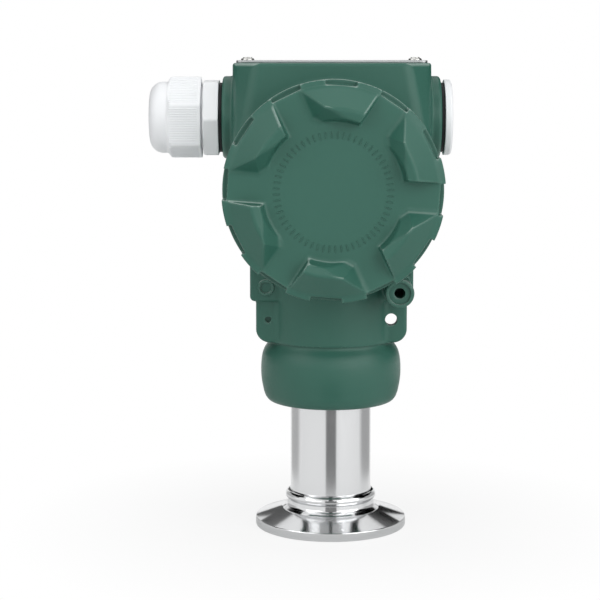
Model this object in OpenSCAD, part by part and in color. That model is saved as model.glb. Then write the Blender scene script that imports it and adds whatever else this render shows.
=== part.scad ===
// Field pressure transmitter with a cast two-cover housing and a clamp ferrule.
// Millimetres. The origin is the centre of the ferrule's bottom face, +Z is up,
// the front cover faces -Y, the cable gland is at -X and the blind plug at +X.

/* [Process ferrule] */
// Outer diameter of the clamp ferrule
ferrule_d = 50.5; // [48:0.5:56]
// Thickness of the ferrule's rim
ferrule_t = 2.85; // [2.4:0.05:3.6]
// Back angle of the ferrule
cone_angle = 20; // [16:1:24]
// Diameter of the collar above the cone
collar_d = 30.4; // [29.4:0.1:34]
// Height of the collar's top
collar_h = 11.8; // [11:0.1:14]
// Diameter of the gasket groove's middle
gasket_d = 43.5; // [42.5:0.1:44]
// Width of the gasket groove
gasket_w = 3.2; // [2.6:0.1:3.6]
// Depth of the gasket groove
gasket_t = 1.5; // [1.2:0.1:1.8]
// Diameter of the flush diaphragm
diaphragm_d = 34; // [30:1:36]
// Thickness of the diaphragm
diaphragm_t = 0.3; // [0.2:0.05:0.4]

/* [Stem] */
// Outer diameter of the stem
stem_d = 27; // [26:0.1:28]
// Height of the housing's lower face
stem_h = 43.2; // [38:0.2:60]
// Length of stem screwed into the housing
stem_grip = 15; // [13:0.5:16]
// Diameter of the sensor cell
cell_d = 19; // [17:0.1:19.4]
// Height of the sensor cell
cell_h = 14; // [10:0.5:15]
// Height of the cell's seat above the ferrule face
cell_z = 24; // [22:0.5:25]
// Height of the threaded ring that holds the cell
retainer_h = 5; // [4:0.2:6]
// Thickness of the small sealing rings' section
small_ring_t = 1.8; // [1.5:0.1:1.9]
// Height of the stem's sealing ring above the housing's lower face
stem_ring_rise = 3; // [2.5:0.1:4]

/* [Neck and bulb] */
// Largest diameter of the bulb
bulb_d = 47.4; // [46:0.2:52]
// Diameter of the bulb's lower edge
bulb_foot_d = 43; // [41:0.2:45]
// Height of the bulb
bulb_h = 20.2; // [18:0.2:24]
// Diameter of the neck
neck_d = 43; // [42:0.2:45]
// Diameter of the hollow in the neck
neck_hollow_d = 30; // [28:0.5:31]
// Width across the lower ears
ear_w = 50.2; // [49.8:0.2:52.2]
// Depth of the lower ears from front to back
ear_t = 24; // [20:0.5:26]
// Width across the upper ears
ear_top_w = 54; // [53.6:0.2:57]
// Depth of the upper ears from front to back
ear_top_t = 28; // [27:0.5:32]
// Height of the step between the ears above the bulb
ear_step = 14.2; // [12:0.2:15]
// Distance of the sealing wire's hole from the middle
wire_hole_x = 19.6; // [19.2:0.1:20.2]
// Diameter of the sealing wire's hole
wire_hole_d = 4; // [3:0.2:4.4]
// Wall left round the sealing wire's hole
wire_web = 4; // [3:0.5:6]
// Distance of the lock bosses from the middle
lock_x = 21.5; // [21:0.1:22.4]
// Drop of the lock bosses below the barrel's axis
lock_drop = 33.6; // [33:0.2:35.4]
// Diameter of a lock boss
lock_boss_d = 9.2; // [8:0.1:10]
// Diameter of the tapped hole in a lock boss
lock_hole_d = 3.4; // [3:0.1:4]

/* [Barrel] */
// Height of the barrel's axis above the bulb
axis_rise = 52.4; // [51:0.1:56]
// Outer diameter of the barrel
barrel_d = 66; // [65:0.5:68]
// Length of the barrel
barrel_l = 68.6; // [66:0.2:80]
// Diameter of the two compartments
room_d = 54; // [52.6:0.2:55]
// Diameter of the cover threads
thread_d = 57; // [56.2:0.2:58]
// Depth of the cover threads
thread_l = 12; // [11.5:0.5:13]
// Distance of the partition behind the barrel's middle
partition_y = 10.5; // [10:0.5:11]
// Thickness of the partition
partition_t = 3; // [2.6:0.2:3.4]
// Diameter of the passage for the sensor's ribbon
passage_d = 6.4; // [6:0.1:6.6]

/* [Top block] */
// Width of the top block
block_w = 66.2; // [65:0.2:70]
// Depth of the top block from front to back
block_t = 44; // [40:0.5:48]
// Height of the top block above the barrel's axis
block_h = 39.7; // [38:0.1:42]
// Width that each slanted corner takes off the block's top
corner_x = 7.8; // [6:0.2:9]
// Depth that each slanted corner takes off the block's top
corner_y = 9; // [7:0.5:10]
// Lean of the slanted corners
corner_lean = 8.6; // [6:0.2:11]
// Height of the cable entries above the barrel's axis
entry_h = 21.4; // [20.8:0.1:21.8]
// Outer diameter of the cable entry bosses
entry_d = 27.2; // [26:0.2:28.6]
// Width across the two cable entry bosses
entry_w = 72.2; // [71:0.2:80]
// Thread diameter of the cable entries
entry_thread_d = 20; // [18:0.1:20.4]
// Depth of the thread in a cable entry
entry_thread_l = 14; // [12:0.5:16]
// Length of the nameplate
plate_l = 62; // [60:0.5:64]
// Width of the nameplate
plate_w = 24; // [20:0.5:25]
// Thickness of the nameplate
plate_t = 0.8; // [0.5:0.1:1.2]
// Distance between the nameplate's screws
plate_screws = 55.2; // [52:0.2:55.6]

/* [Covers] */
// Outer diameter of a cover
cover_d = 69.2; // [68.2:0.2:72]
// Height of a cover's rim
cover_h = 10; // [9:0.2:12]
// Thickness of the full flange behind the rim's notches
flange_t = 3; // [2.4:0.2:4]
// Wall of a cover's face
cover_wall = 4; // [3:0.2:5]
// Length of a cover's threaded skirt
skirt_l = 10; // [9:0.2:10.4]
// Wall of a cover's threaded skirt
skirt_wall = 3.85; // [3:0.05:4]
// Height of the lobes above a cover's face
lobe_h = 6.5; // [5:0.1:8]
// Diameter at the lobes' feet
lobe_foot_d = 66.4; // [65:0.2:66.6]
// Diameter at the lobes' ridge
lobe_ridge_d = 51.6; // [50:0.2:54]
// Diameter at the lobes' inner edge
lobe_inner_d = 44; // [42:0.2:46]
// Number of lobes
lobe_n = 6; // [4:1:8]
// Width of the slots between lobes
slot_w = 10; // [8:0.2:11]
// Width of the sloped side of a lobe at its ridge
ramp_w = 4.5; // [3:0.1:5]
// Width of a notch in the rim
notch_w = 9.8; // [7:0.2:10]
// Depth of a notch in the rim
notch_t = 1.25; // [0.6:0.05:1.4]
// Turn of the screwed-on front cover
front_turn = 4; // [0:1:60]
// Turn of the screwed-on rear cover
rear_turn = 17; // [0:1:60]
// Section of the cover sealing rings
ring_t = 2; // [1.6:0.1:2.2]

/* [Gland] */
// Width across the flats of the gland's hexagons
gland_af = 24; // [23.6:0.1:26]
// Length of the gland body's hexagon
gland_hex_l = 5.1; // [4.6:0.1:7]
// Length of the gland nut's hexagon
nut_hex_l = 11; // [10.4:0.1:14]
// Length of the gland nut's dome
dome_l = 6.9; // [6:0.1:8]
// Diameter of the gland nut's dome
dome_d = 23.5; // [23.2:0.1:24]
// Rounding of the dome
dome_r = 4.5; // [3.5:0.1:4.8]
// Largest cable diameter
cable_d = 12.4; // [11.4:0.1:12.6]
// Length of the gland's and plug's threads
screw_l = 9.5; // [8:0.5:11]
// Thickness of the two flat sealing rings
washer_t = 1.2; // [1:0.1:2]
// Diameter of the two flat sealing rings
washer_d = 22.9; // [22.6:0.1:23.6]
// Diameter of the blind plug's head
plug_d = 24.9; // [24.4:0.1:27]
// Thickness of the blind plug's head
plug_t = 2.2; // [1.8:0.1:4]

/* [Electronics] */
// Width of one terminal bay
bay_w = 9.6; // [9:0.1:10]
// Height of the terminal block
terminal_h = 18; // [16:0.5:19]
// Thickness of the terminal block's base
terminal_t = 8; // [7:0.2:9]
// Height of the barriers between terminals
barrier_h = 5; // [4:0.2:6]
// Drop of the terminal block below the barrel's axis
terminal_drop = 7; // [6:0.2:8]
// Space between the amplifier board and the wall round it
board_gap = 2.5; // [2:0.1:3.5]
// Thickness of the amplifier board
board_t = 1.6; // [1.2:0.1:1.8]
// Length of the board's stand-offs
standoff_l = 6; // [5.6:0.1:6.4]
// Height of the electronics shroud
shroud_h = 6.4; // [6.2:0.1:7.4]
// Wall of the electronics shroud
shroud_wall = 1.5; // [1.2:0.1:1.6]
// Diameter of the setting buttons
button_d = 4; // [3:0.1:5]
// Distance between the setting buttons
button_gap = 16; // [13:0.5:18]
// Travel of the setting buttons
button_travel = 0.8; // [0.5:0.1:1]
// Width of the sensor's ribbon
ribbon_w = 4; // [3:0.1:4.2]
// Thickness of the sensor's ribbon
ribbon_t = 0.7; // [0.5:0.05:0.9]

/* [Hidden] */
$fn = 96;

paint = "#3f6b5d";
steel = "#c4c6c8";
nylon = "#eceded";
black_rubber = "#1b1b1c";
brass_tone = "#b99a55";
board_green = "#24583a";

// Radial clearance of every thread and running fit
fit = 0.05;
// Length that cuts run past a face
past = 1;
bulb_top = stem_h + bulb_h;
axis_z = bulb_top + axis_rise;
barrel_end = barrel_l / 2;
room_end = barrel_end - thread_l;
entry_end = entry_w / 2;
entry_z = axis_z + entry_h;
block_top = axis_z + block_h;
stem_top = stem_h + stem_grip;
hollow_top = bulb_top + 11.4;
ear_z = bulb_top - 1.4;
step_z = bulb_top + ear_step;
lock_z = axis_z - lock_drop;
wire_hole_z = bulb_top + 7.9;
passage_y = partition_y + partition_t + passage_d / 2 + 0.2;
// Shanks of the small screws and of the terminal screws
small_screw_d = 2.9;
clamp_screw_d = 3.8;
ground_screw_d = 3.9;
// The barrel's end face and the cover's flange nearly meet
flange_gap = 0.4;
flange_z = barrel_end + flange_gap;
skirt_r = thread_d / 2 - fit;
lock_face = flange_z - 5.3;

// Local +Z points out of the front, local +Y is up
module front() {
    translate([0, 0, axis_z])
        rotate([90, 0, 0])
            children();
}

module rear() {
    rotate([0, 0, 180])
        front()
            children();
}

// Local +Z points out of a cable entry and local +Y away from the front
module left_entry() {
    translate([0, 0, entry_z])
        rotate([0, -90, 0])
            children();
}

module right_entry() {
    translate([0, 0, entry_z])
        rotate([0, 90, 0])
            rotate([0, 0, 180])
                children();
}

module both_sides() {
    children();
    rotate([0, 0, 180])
        children();
}

module tube(r_out, r_in, h) {
    difference() {
        cylinder(r = r_out, h = h);
        translate([0, 0, -past])
            cylinder(r = r_in, h = h + 2 * past);
    }
}

module torus(r_mid, section) {
    rotate_extrude()
        translate([r_mid, 0])
            circle(d = section, $fn = 32);
}

module pan_screw(head_d, head_h, shank_d, shank_l) {
    difference() {
        union() {
            cylinder(d = head_d, h = head_h * 0.6);
            translate([0, 0, head_h * 0.6])
                cylinder(d1 = head_d, d2 = head_d * 0.7, h = head_h * 0.4);
            translate([0, 0, -shank_l])
                cylinder(d = shank_d, h = shank_l + 0.1);
        }
        for (turn = [0, 90])
            rotate([0, 0, turn])
                translate([-head_d * 0.3, -head_d * 0.07, head_h * 0.45])
                    cube([head_d * 0.6, head_d * 0.14, head_h]);
    }
}

// Housing

module bulb() {
    swell = (bulb_d - bulb_foot_d) / 2;
    body_h = bulb_h - 2.2;
    rotate_extrude()
        polygon(concat(
            [[0, stem_h], [bulb_foot_d / 2 - 0.8, stem_h]],
            [for (s = [0 : 0.0625 : 1])
                [bulb_foot_d / 2 + swell * pow(sin(min(s * 200, 90)), 0.8)
                    - max(0, s - 0.6) * max(0, s - 0.6) * 9.4,
                stem_h + 0.5 + (body_h - 0.5) * s]],
            [[neck_d / 2 + 0.5, bulb_top - 1.2], [neck_d / 2 - 0.5, bulb_top - 0.9],
                [neck_d / 2 - 0.5, bulb_top + 0.1], [neck_d / 2 - 0.5, bulb_top + 1],
                [0, bulb_top + 1]]));
}

module ear_block(w, t, z, top, r) {
    rotate([90, 0, 0])
        translate([0, 0, -t / 2])
            linear_extrude(t)
                union() {
                    translate([-w / 2, z + r])
                        square([w, top - z - r]);
                    translate([r - w / 2, z])
                        square([w - 2 * r, r + 1]);
                    for (side = [-1, 1])
                        translate([side * (w / 2 - r), z + r])
                            circle(r = r, $fn = 48);
                }
}

module block_corner() {
    reach = 1.5 * block_t;
    translate([block_w / 2 - corner_x, -block_t / 2, block_top])
        rotate([0, -corner_lean, -atan2(corner_x, corner_y)])
            translate([0, -reach / 2, -reach])
                cube([reach / 2, reach, 2 * reach]);
}

module top_block() {
    low = axis_z + 5;
    difference() {
        translate([-block_w / 2, -block_t / 2, low])
            cube([block_w, block_t, block_top - low]);
        for (side = [0, 1])
            mirror([side, 0, 0])
                both_sides()
                    block_corner();
    }
}

module entry_boss() {
    edge = 1.3;
    rotate_extrude()
        polygon(concat([[0, 0], [entry_d / 2, 0]],
            [for (a = [0 : 15 : 90])
                [entry_d / 2 - edge + edge * cos(a), entry_end - edge + edge * sin(a)]],
            [[0, entry_end]]));
}

module lock_boss() {
    translate([lock_x, 0, lock_z])
        rotate([90, 0, 0])
            cylinder(d = lock_boss_d, h = lock_face);
    translate([-lock_x, 0, lock_z])
        rotate([90, 0, 0])
            cylinder(d = 5.4, h = ear_top_t / 2 + 0.5);
}

module housing_body() {
    front()
        translate([0, 0, -barrel_end])
            cylinder(d = barrel_d, h = barrel_l);
    top_block();
    left_entry()
        entry_boss();
    right_entry()
        entry_boss();
    bulb();
    translate([0, 0, bulb_top + 0.1])
        cylinder(d = neck_d, h = axis_z - barrel_d / 2 + 8 - bulb_top);
    ear_block(ear_w, ear_t, ear_z, step_z + 2, 5);
    ear_block(ear_top_w, ear_top_t, step_z, axis_z - 17, 2);
    both_sides()
        lock_boss();
}

module compartments() {
    front()
        translate([0, 0, -partition_y])
            cylinder(d = room_d, h = barrel_l);
    rear()
        translate([0, 0, partition_y + partition_t])
            cylinder(d = room_d, h = barrel_l);
    both_sides()
        front() {
            translate([0, 0, room_end])
                cylinder(d = thread_d, h = barrel_l);
            translate([0, 0, barrel_end - 0.5])
                cylinder(d1 = thread_d, d2 = thread_d + 1, h = 0.5);
            translate([0, 0, barrel_end])
                cylinder(d = thread_d + 1, h = past);
        }
}

module entry_hole() {
    translate([0, 0, 12])
        cylinder(d = entry_thread_d - 1.5, h = entry_end);
    translate([0, 0, entry_end - entry_thread_l])
        cylinder(d = entry_thread_d, h = entry_thread_l + past);
}

module neck_holes() {
    translate([0, 0, stem_h - past])
        cylinder(d = stem_d, h = stem_grip + past + 0.6);
    translate([0, 0, stem_top + 0.5])
        cylinder(d = neck_hollow_d, h = hollow_top - stem_top - 0.5);
    translate([0, passage_y, stem_top + 2.6])
        cylinder(d = passage_d, h = axis_z - stem_top - 22);
    // Hole and cored pocket for the sealing wire in the right ear
    translate([wire_hole_x, 0, wire_hole_z])
        rotate([90, 0, 0])
            cylinder(d = wire_hole_d, h = ear_t);
    translate([wire_hole_x - 2.4, wire_web - ear_t / 2, wire_hole_z - 7.2])
        cube([wire_hole_d + 2, ear_t, wire_hole_d + 5.6]);
    // Cast dimple in the left ear
    translate([-wire_hole_x - 1.2, 1.5 - ear_t / 2, wire_hole_z])
        rotate([90, 0, 0])
            cylinder(d = 2, h = ear_t);
}

module lock_holes() {
    translate([lock_x, -lock_face, lock_z])
        rotate([90, 0, 0]) {
            translate([0, 0, -18])
                cylinder(d = lock_hole_d, h = 18 + past);
            translate([0, 0, -0.8])
                cylinder(d = lock_boss_d - 2, h = 2);
        }
    translate([-lock_x, -ear_top_t / 2, lock_z])
        rotate([90, 0, 0])
            cylinder(d = 3.6, h = 2);
}

module fixing_holes() {
    for (side = [-1, 1])
        translate([side * plate_screws / 2, 0, block_top - 6.4])
            cylinder(d = 3, h = 8);
    front()
        translate([0, 0, -partition_y]) {
            for (x = terminal_xs)
                translate([x, feed_y, -partition_t - past])
                    cylinder(d = bush_d + 2 * fit, h = partition_t + 2 * past);
            for (side = [-1, 1])
                translate([side * ear_screw_x, -terminal_drop, -2.2])
                    cylinder(d = small_screw_d + 2 * fit, h = 3);
            translate([0, ground_y, -2])
                cylinder(d = ground_screw_d + 2 * fit, h = 8);
        }
    // Set screw that locks the stem, at the back of the bulb
    translate([0, stem_d / 2 - 0.2, stem_h + lock_screw_h])
        rotate([-90, 0, 0])
            cylinder(d = lock_screw_d + 2 * fit, h = bulb_d);
}

module ground_boss() {
    front()
        translate([0, ground_y, -partition_y - 0.5])
            cylinder(d = 8, h = 3.5);
}

module housing() {
    color(paint)
        difference() {
            union() {
                difference() {
                    housing_body();
                    compartments();
                    left_entry()
                        entry_hole();
                    right_entry()
                        entry_hole();
                    neck_holes();
                    both_sides()
                        lock_holes();
                }
                ground_boss();
            }
            fixing_holes();
        }
}

// Nameplate

module nameplate() {
    round = 2;
    color(steel)
        translate([0, 0, block_top])
            difference() {
                linear_extrude(plate_t)
                    union() {
                        square([plate_l - 2 * round, plate_w], center = true);
                        square([plate_l, plate_w - 2 * round], center = true);
                        for (x = [-1, 1], y = [-1, 1])
                            translate([x * (plate_l / 2 - round), y * (plate_w / 2 - round)])
                                circle(r = round, $fn = 48);
                    }
                for (side = [-1, 1])
                    translate([side * plate_screws / 2, 0, -past])
                        cylinder(d = small_screw_d + 0.3, h = plate_t + 2 * past);
            }
}

module nameplate_screws() {
    color(steel)
        for (side = [-1, 1])
            translate([side * plate_screws / 2, 0, block_top + plate_t])
                pan_screw(5.2, 1.9, small_screw_d, 6);
}

// Covers

module lobe_ring() {
    rotate_extrude()
        polygon([[lobe_inner_d / 2 - 1.6, cover_h - 0.5], [lobe_inner_d / 2 - 1.6, cover_h],
            [lobe_inner_d / 2 - 1, cover_h + 0.5],
            [lobe_inner_d / 2 - 0.4, cover_h + lobe_h * 0.34],
            [lobe_inner_d / 2, cover_h + lobe_h - 1],
            [lobe_inner_d / 2 + 0.3, cover_h + lobe_h - 0.6],
            [lobe_ridge_d / 2, cover_h + lobe_h],
            [lobe_foot_d / 2, cover_h], [lobe_foot_d / 2, cover_h - 0.5]]);
}

// Going clockwise a slot has a steep wall, a flat floor and a sloped ramp
module lobe_slot() {
    low = -1;
    high = lobe_h + 1;
    slope = ramp_w / lobe_h;
    translate([0, cover_d / 2, cover_h])
        rotate([90, 0, 0])
            linear_extrude(cover_d / 2)
                polygon([[-slot_w / 2, low], [slot_w / 2 + low * slope, low],
                    [slot_w / 2 + high * slope, high], [-slot_w / 2 - 0.4, high]]);
}

module cover(turn) {
    step = 360 / lobe_n;
    groove_w = ring_t + 0.4;
    groove_t = ring_t - 0.3;
    rotate([0, 0, -turn]) {
        difference() {
            rotate_extrude()
                polygon([[0, cover_h - cover_wall], [skirt_r - skirt_wall, cover_h - cover_wall],
                    [skirt_r - skirt_wall, -skirt_l], [skirt_r - 0.8, -skirt_l],
                    [skirt_r, 0.8 - skirt_l], [skirt_r, groove_t],
                    [skirt_r + groove_w, groove_t], [skirt_r + groove_w, 0],
                    [cover_d / 2 - 0.3, 0], [cover_d / 2, 0.3],
                    [cover_d / 2, cover_h - 1], [cover_d / 2 - 1, cover_h], [0, cover_h]]);
            for (k = [0 : 2 * lobe_n - 1])
                rotate([0, 0, k * step / 2])
                    translate([-notch_w / 2, cover_d / 2 - notch_t, flange_t])
                        cube([notch_w, 5, cover_h]);
        }
        difference() {
            lobe_ring();
            for (k = [0 : lobe_n - 1])
                rotate([0, 0, (k + 0.5) * step])
                    lobe_slot();
        }
    }
}

module front_cover() {
    color(paint)
        front()
            translate([0, 0, flange_z])
                cover(front_turn);
}

module rear_cover() {
    color(paint)
        rear()
            translate([0, 0, flange_z])
                cover(rear_turn);
}

module cover_oring() {
    translate([0, 0, flange_z + ring_t / 2 - 0.35])
        torus(skirt_r + fit + ring_t / 2, ring_t);
}

module front_cover_oring() {
    color(black_rubber)
        front()
            cover_oring();
}

module rear_cover_oring() {
    color(black_rubber)
        rear()
            cover_oring();
}

// Terminal compartment, drawn on the partition's front face

barrier_t = 1.6;
terminal_pitch = bay_w + barrier_t;
terminal_xs = [-terminal_pitch, 0, terminal_pitch];
terminal_w = 3 * bay_w + 4 * barrier_t;
ear_screw_x = terminal_w / 2 + 3;
feed_y = -terminal_drop - terminal_h / 2 + 3.2;
screw_y = -terminal_drop + 2;
// Width, height and thickness of the lugs that fix the block
lug = [6.4, 8, 5];
bush_d = 4.2;
pin_d = 1.6;
ground_y = 12;
lock_screw_d = 3.3;
lock_screw_h = 8;
clamp_t = 1.2;
clamp_head_d = 6.6;
clamp_hole_d = clamp_screw_d + 0.3;

module on_partition() {
    front()
        translate([0, 0, -partition_y])
            children();
}

module terminal_block() {
    color("#2a2c2f")
        on_partition()
            difference() {
                union() {
                    translate([-terminal_w / 2, -terminal_drop - terminal_h / 2, 0])
                        cube([terminal_w, terminal_h, terminal_t]);
                    for (k = [-2 : 1])
                        translate([(k + 0.5) * terminal_pitch - barrier_t / 2,
                            -terminal_drop - terminal_h / 2, terminal_t - 0.1])
                            cube([barrier_t, terminal_h, barrier_h + 0.1]);
                    for (side = [-1, 1])
                        translate([side * (ear_screw_x - 0.4), -terminal_drop, lug[2] / 2])
                            cube(lug, center = true);
                }
                for (x = terminal_xs) {
                    translate([x, feed_y, -past])
                        cylinder(d = pin_d + 2 * fit, h = terminal_t + 2 * past);
                    translate([x, screw_y, terminal_t - 6])
                        cylinder(d = clamp_screw_d + 2 * fit, h = 8);
                }
                for (side = [-1, 1])
                    translate([side * ear_screw_x, -terminal_drop, -past])
                        cylinder(d = small_screw_d + 0.3, h = lug[2] + 2 * past);
            }
}

module terminal_screws() {
    color(steel)
        on_partition()
            for (x = terminal_xs)
                translate([x, screw_y, terminal_t + clamp_t])
                    pan_screw(clamp_head_d, 2.6, clamp_screw_d, 6);
}

module clamp_plate(size, hole) {
    difference() {
        translate([-size / 2, -size / 2, 0])
            cube([size, size, clamp_t]);
        translate([0, 0, -past])
            cylinder(d = hole, h = clamp_t + 2 * past);
    }
}

module terminal_clamps() {
    color(steel)
        on_partition()
            for (x = terminal_xs)
                translate([x, screw_y, terminal_t])
                    clamp_plate(bay_w - 1.4, clamp_hole_d);
}

module terminal_block_screws() {
    color(steel)
        on_partition()
            for (side = [-1, 1])
                translate([side * ear_screw_x, -terminal_drop, lug[2]])
                    pan_screw(5.2, 2, small_screw_d, 7);
}

module feedthrough_bushes() {
    color("#7b3a24")
        on_partition()
            for (x = terminal_xs)
                translate([x, feed_y, -partition_t])
                    tube(bush_d / 2, pin_d / 2 + fit, partition_t);
}

module feedthrough_pins() {
    color(brass_tone)
        on_partition()
            for (x = terminal_xs)
                translate([x, feed_y, -partition_t - standoff_l])
                    cylinder(d = pin_d, h = partition_t + standoff_l + terminal_t + 1.5);
}

module ground_screw() {
    color(steel)
        on_partition()
            translate([0, ground_y, 3 + clamp_t])
                pan_screw(clamp_head_d, 2.6, ground_screw_d, 6);
}

module ground_clamp() {
    color(steel)
        on_partition()
            translate([0, ground_y, 3])
                clamp_plate(7.6, clamp_hole_d);
}

// Electronics compartment, drawn on the partition's back face

board_z = standoff_l;
board_d = room_d - 2 * board_gap;
board_screw_r = board_d / 2 - 5.5;
shroud_d = board_d - 2;
// Chips as [left, low, width, height, thickness], and the capacitors' middles
chips = [[-5, 4, 10, 10, 1.6], [-15, 1, 6, 8, 2.4], [9.5, 2, 6, 7, 2]];
capacitor_xs = [-5, 0, 5];
capacitor_y = -13.5;
capacitor_d = 4;
shroud_z = board_z + board_t;
face_z = shroud_z + shroud_h - shroud_wall;
board_angles = [90, 210, 330];
connector_h = 5;
connector_y = -14;
switch_t = 2.2;
switch_w = 6;
button_foot_z = shroud_z + switch_t + button_travel + 0.05;
button_y = -3;
button_flange = 1.2;

module on_partition_back() {
    rear()
        translate([0, 0, partition_y + partition_t])
            children();
}

module at_board_screws() {
    for (a = board_angles)
        rotate([0, 0, a])
            translate([board_screw_r, 0, 0])
                children();
}

module board_standoffs() {
    color(brass_tone)
        on_partition_back()
            at_board_screws()
                difference() {
                    cylinder(d = 5, h = standoff_l, $fn = 6);
                    translate([0, 0, 1])
                        cylinder(d = 2.4 + 2 * fit, h = standoff_l);
                }
}

module amplifier_board() {
    color(board_green)
        on_partition_back()
            translate([0, 0, board_z])
                difference() {
                    cylinder(d = board_d, h = board_t);
                    at_board_screws()
                        translate([0, 0, -past])
                            cylinder(d = 2.8, h = board_t + 2 * past);
                }
}

module board_components() {
    color("#202124")
        on_partition_back()
            translate([0, 0, shroud_z]) {
                for (c = chips)
                    translate([c[0], c[1], 0])
                        cube([c[2], c[3], c[4]]);
                for (x = capacitor_xs)
                    translate([x, capacitor_y, 0])
                        cylinder(d = capacitor_d, h = 3.6, $fn = 48);
            }
}

module button_switches() {
    color("#3a3c40")
        on_partition_back()
            for (side = [-1, 1])
                translate([side * button_gap / 2 - switch_w / 2, button_y - switch_w / 2,
                    shroud_z])
                    cube([switch_w, switch_w, switch_t]);
}

module electronics_shroud() {
    color("#dfe1df")
        on_partition_back()
            difference() {
                translate([0, 0, shroud_z])
                    union() {
                        difference() {
                            cylinder(d = shroud_d, h = shroud_h);
                            translate([0, 0, -past])
                                cylinder(d = shroud_d - 2 * shroud_wall,
                                    h = shroud_h - shroud_wall + past);
                        }
                        at_board_screws()
                            cylinder(d = 7, h = shroud_h);
                    }
                at_board_screws()
                    translate([0, 0, shroud_z - past])
                        cylinder(d = 2.8, h = shroud_h + 2 * past);
                for (side = [-1, 1])
                    translate([side * button_gap / 2, button_y, face_z - past])
                        cylinder(d = button_d + 0.16, h = shroud_wall + 2 * past);
            }
}

module shroud_screws() {
    color(steel)
        on_partition_back()
            at_board_screws()
                translate([0, 0, shroud_z + shroud_h])
                    pan_screw(4.4, 1.7, 2.4, shroud_h + board_t + standoff_l - 1.5);
}

module setting_button(side) {
    on_partition_back()
        translate([side * button_gap / 2, button_y, 0]) {
            translate([0, 0, button_foot_z])
                cylinder(d = button_d + 2, h = button_flange);
            translate([0, 0, button_foot_z])
                cylinder(d = button_d, h = face_z + shroud_wall + 2 - button_foot_z);
        }
}

module zero_button() {
    color("#2f5fa8")
        setting_button(-1);
}

module span_button() {
    color("#a83a2f")
        setting_button(1);
}

module sensor_connector() {
    ribbon_z = passage_y - partition_y - partition_t;
    low = ribbon_z - 1.6;
    color("#e9e4d4")
        on_partition_back()
            translate([-ribbon_w / 2 - 1.4, connector_y - connector_h, low])
                cube([ribbon_w + 2.8, connector_h, board_z - low]);
}

// The ribbon rises from the sensor, swings back and goes up the passage
module sensor_ribbon() {
    z_low = header_top;
    z_top = axis_z + connector_y - connector_h;
    bend_low = stem_top + 0.8;
    bend_h = hollow_top - bend_low;
    bend = [for (s = [0 : 0.0625 : 1])
        [passage_y * (1 - cos(180 * s)) / 2, bend_low + bend_h * s]];
    middle = concat([[0, z_low]], bend, [[passage_y, z_top]]);
    count = len(middle);
    color("#b9bcc0")
        rotate([90, 0, 90])
            linear_extrude(ribbon_w, center = true)
                polygon(concat(
                    [for (p = middle) [p[0] + ribbon_t / 2, p[1]]],
                    [for (k = [count - 1 : -1 : 0])
                        [middle[k][0] - ribbon_t / 2, middle[k][1]]]));
}

// Stem and sensor

cell_bore_d = cell_d + 2 * fit;
chamber_t = 0.35;
recess_t = diaphragm_t + 0.3;
header_z = cell_z + cell_h + 3;
header_top = header_z + 1;
collar_low = collar_h - 3.2;

module stem() {
    ring_z = stem_h + stem_ring_rise;
    cone_rise = (ferrule_d - collar_d) / 2 - 1;
    color(steel)
        difference() {
            rotate_extrude()
                polygon([[0, 0], [ferrule_d / 2 - 0.3, 0], [ferrule_d / 2, 0.3],
                    [ferrule_d / 2, ferrule_t - 0.4], [ferrule_d / 2 - 0.4, ferrule_t],
                    [collar_d / 2 + 1, ferrule_t + (cone_rise - 0.4) * tan(cone_angle)],
                    [collar_d / 2 + 0.3, ferrule_t + cone_rise * tan(cone_angle) + 0.5],
                    [collar_d / 2, collar_low],
                    [collar_d / 2, collar_h - 0.8], [collar_d / 2 - 0.8, collar_h],
                    [stem_d / 2 - 0.4, collar_h], [stem_d / 2 - 0.4, collar_h + 0.7],
                    [stem_d / 2, collar_h + 1.1], [stem_d / 2, stem_h],
                    [stem_d / 2 - fit, stem_h], [stem_d / 2 - fit, stem_top - 1],
                    [stem_d / 2 - 1, stem_top], [0, stem_top]]);
            // Gasket groove
            rotate_extrude()
                polygon([[gasket_d / 2 - gasket_w / 2, -past],
                    [gasket_d / 2 - gasket_w / 2, 0],
                    [gasket_d / 2 - gasket_w / 4, gasket_t],
                    [gasket_d / 2 + gasket_w / 4, gasket_t],
                    [gasket_d / 2 + gasket_w / 2, 0],
                    [gasket_d / 2 + gasket_w / 2, -past]]);
            translate([0, 0, -past])
                cylinder(r = diaphragm_d / 2 + fit, h = recess_t + past);
            translate([0, 0, recess_t - 0.1])
                cylinder(r = diaphragm_d / 2 - 1.5, h = chamber_t + 0.1);
            cylinder(d = 2, h = cell_z + past);
            translate([0, 0, cell_z])
                cylinder(d = cell_bore_d, h = stem_top);
            // Groove of the stem's sealing ring
            translate([0, 0, ring_z - small_ring_t / 2 - 0.15])
                tube(stem_d / 2 + 1, stem_d / 2 - small_ring_t - 0.1, small_ring_t + 0.3);
        }
}

module diaphragm() {
    edge = diaphragm_d / 2;
    flat = 1.5;
    waves = 4;
    low = recess_t - diaphragm_t;
    steps = [for (s = [0 : 1 / 48 : 1]) s];
    function wave(s) = 0.17 * sin(360 * waves * s);
    color(steel)
        rotate_extrude()
            polygon(concat(
                [for (s = steps) [(edge - flat) * s, low + wave(s)]],
                [[edge, low], [edge, recess_t]],
                [for (k = [len(steps) - 1 : -1 : 0])
                    [(edge - flat) * steps[k], recess_t + wave(steps[k])]]));
}

module stem_oring() {
    color(black_rubber)
        translate([0, 0, stem_h + stem_ring_rise])
            torus(stem_d / 2 - fit - small_ring_t / 2, small_ring_t);
}

module stem_lock_screw() {
    length = 8;
    color("#3b3d40")
        translate([0, stem_d / 2 + fit, stem_h + lock_screw_h])
            rotate([-90, 0, 0])
                difference() {
                    cylinder(d = lock_screw_d, h = length);
                    translate([0, 0, length - 2])
                        cylinder(d = 2.2, h = 3, $fn = 6);
                }
}

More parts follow.
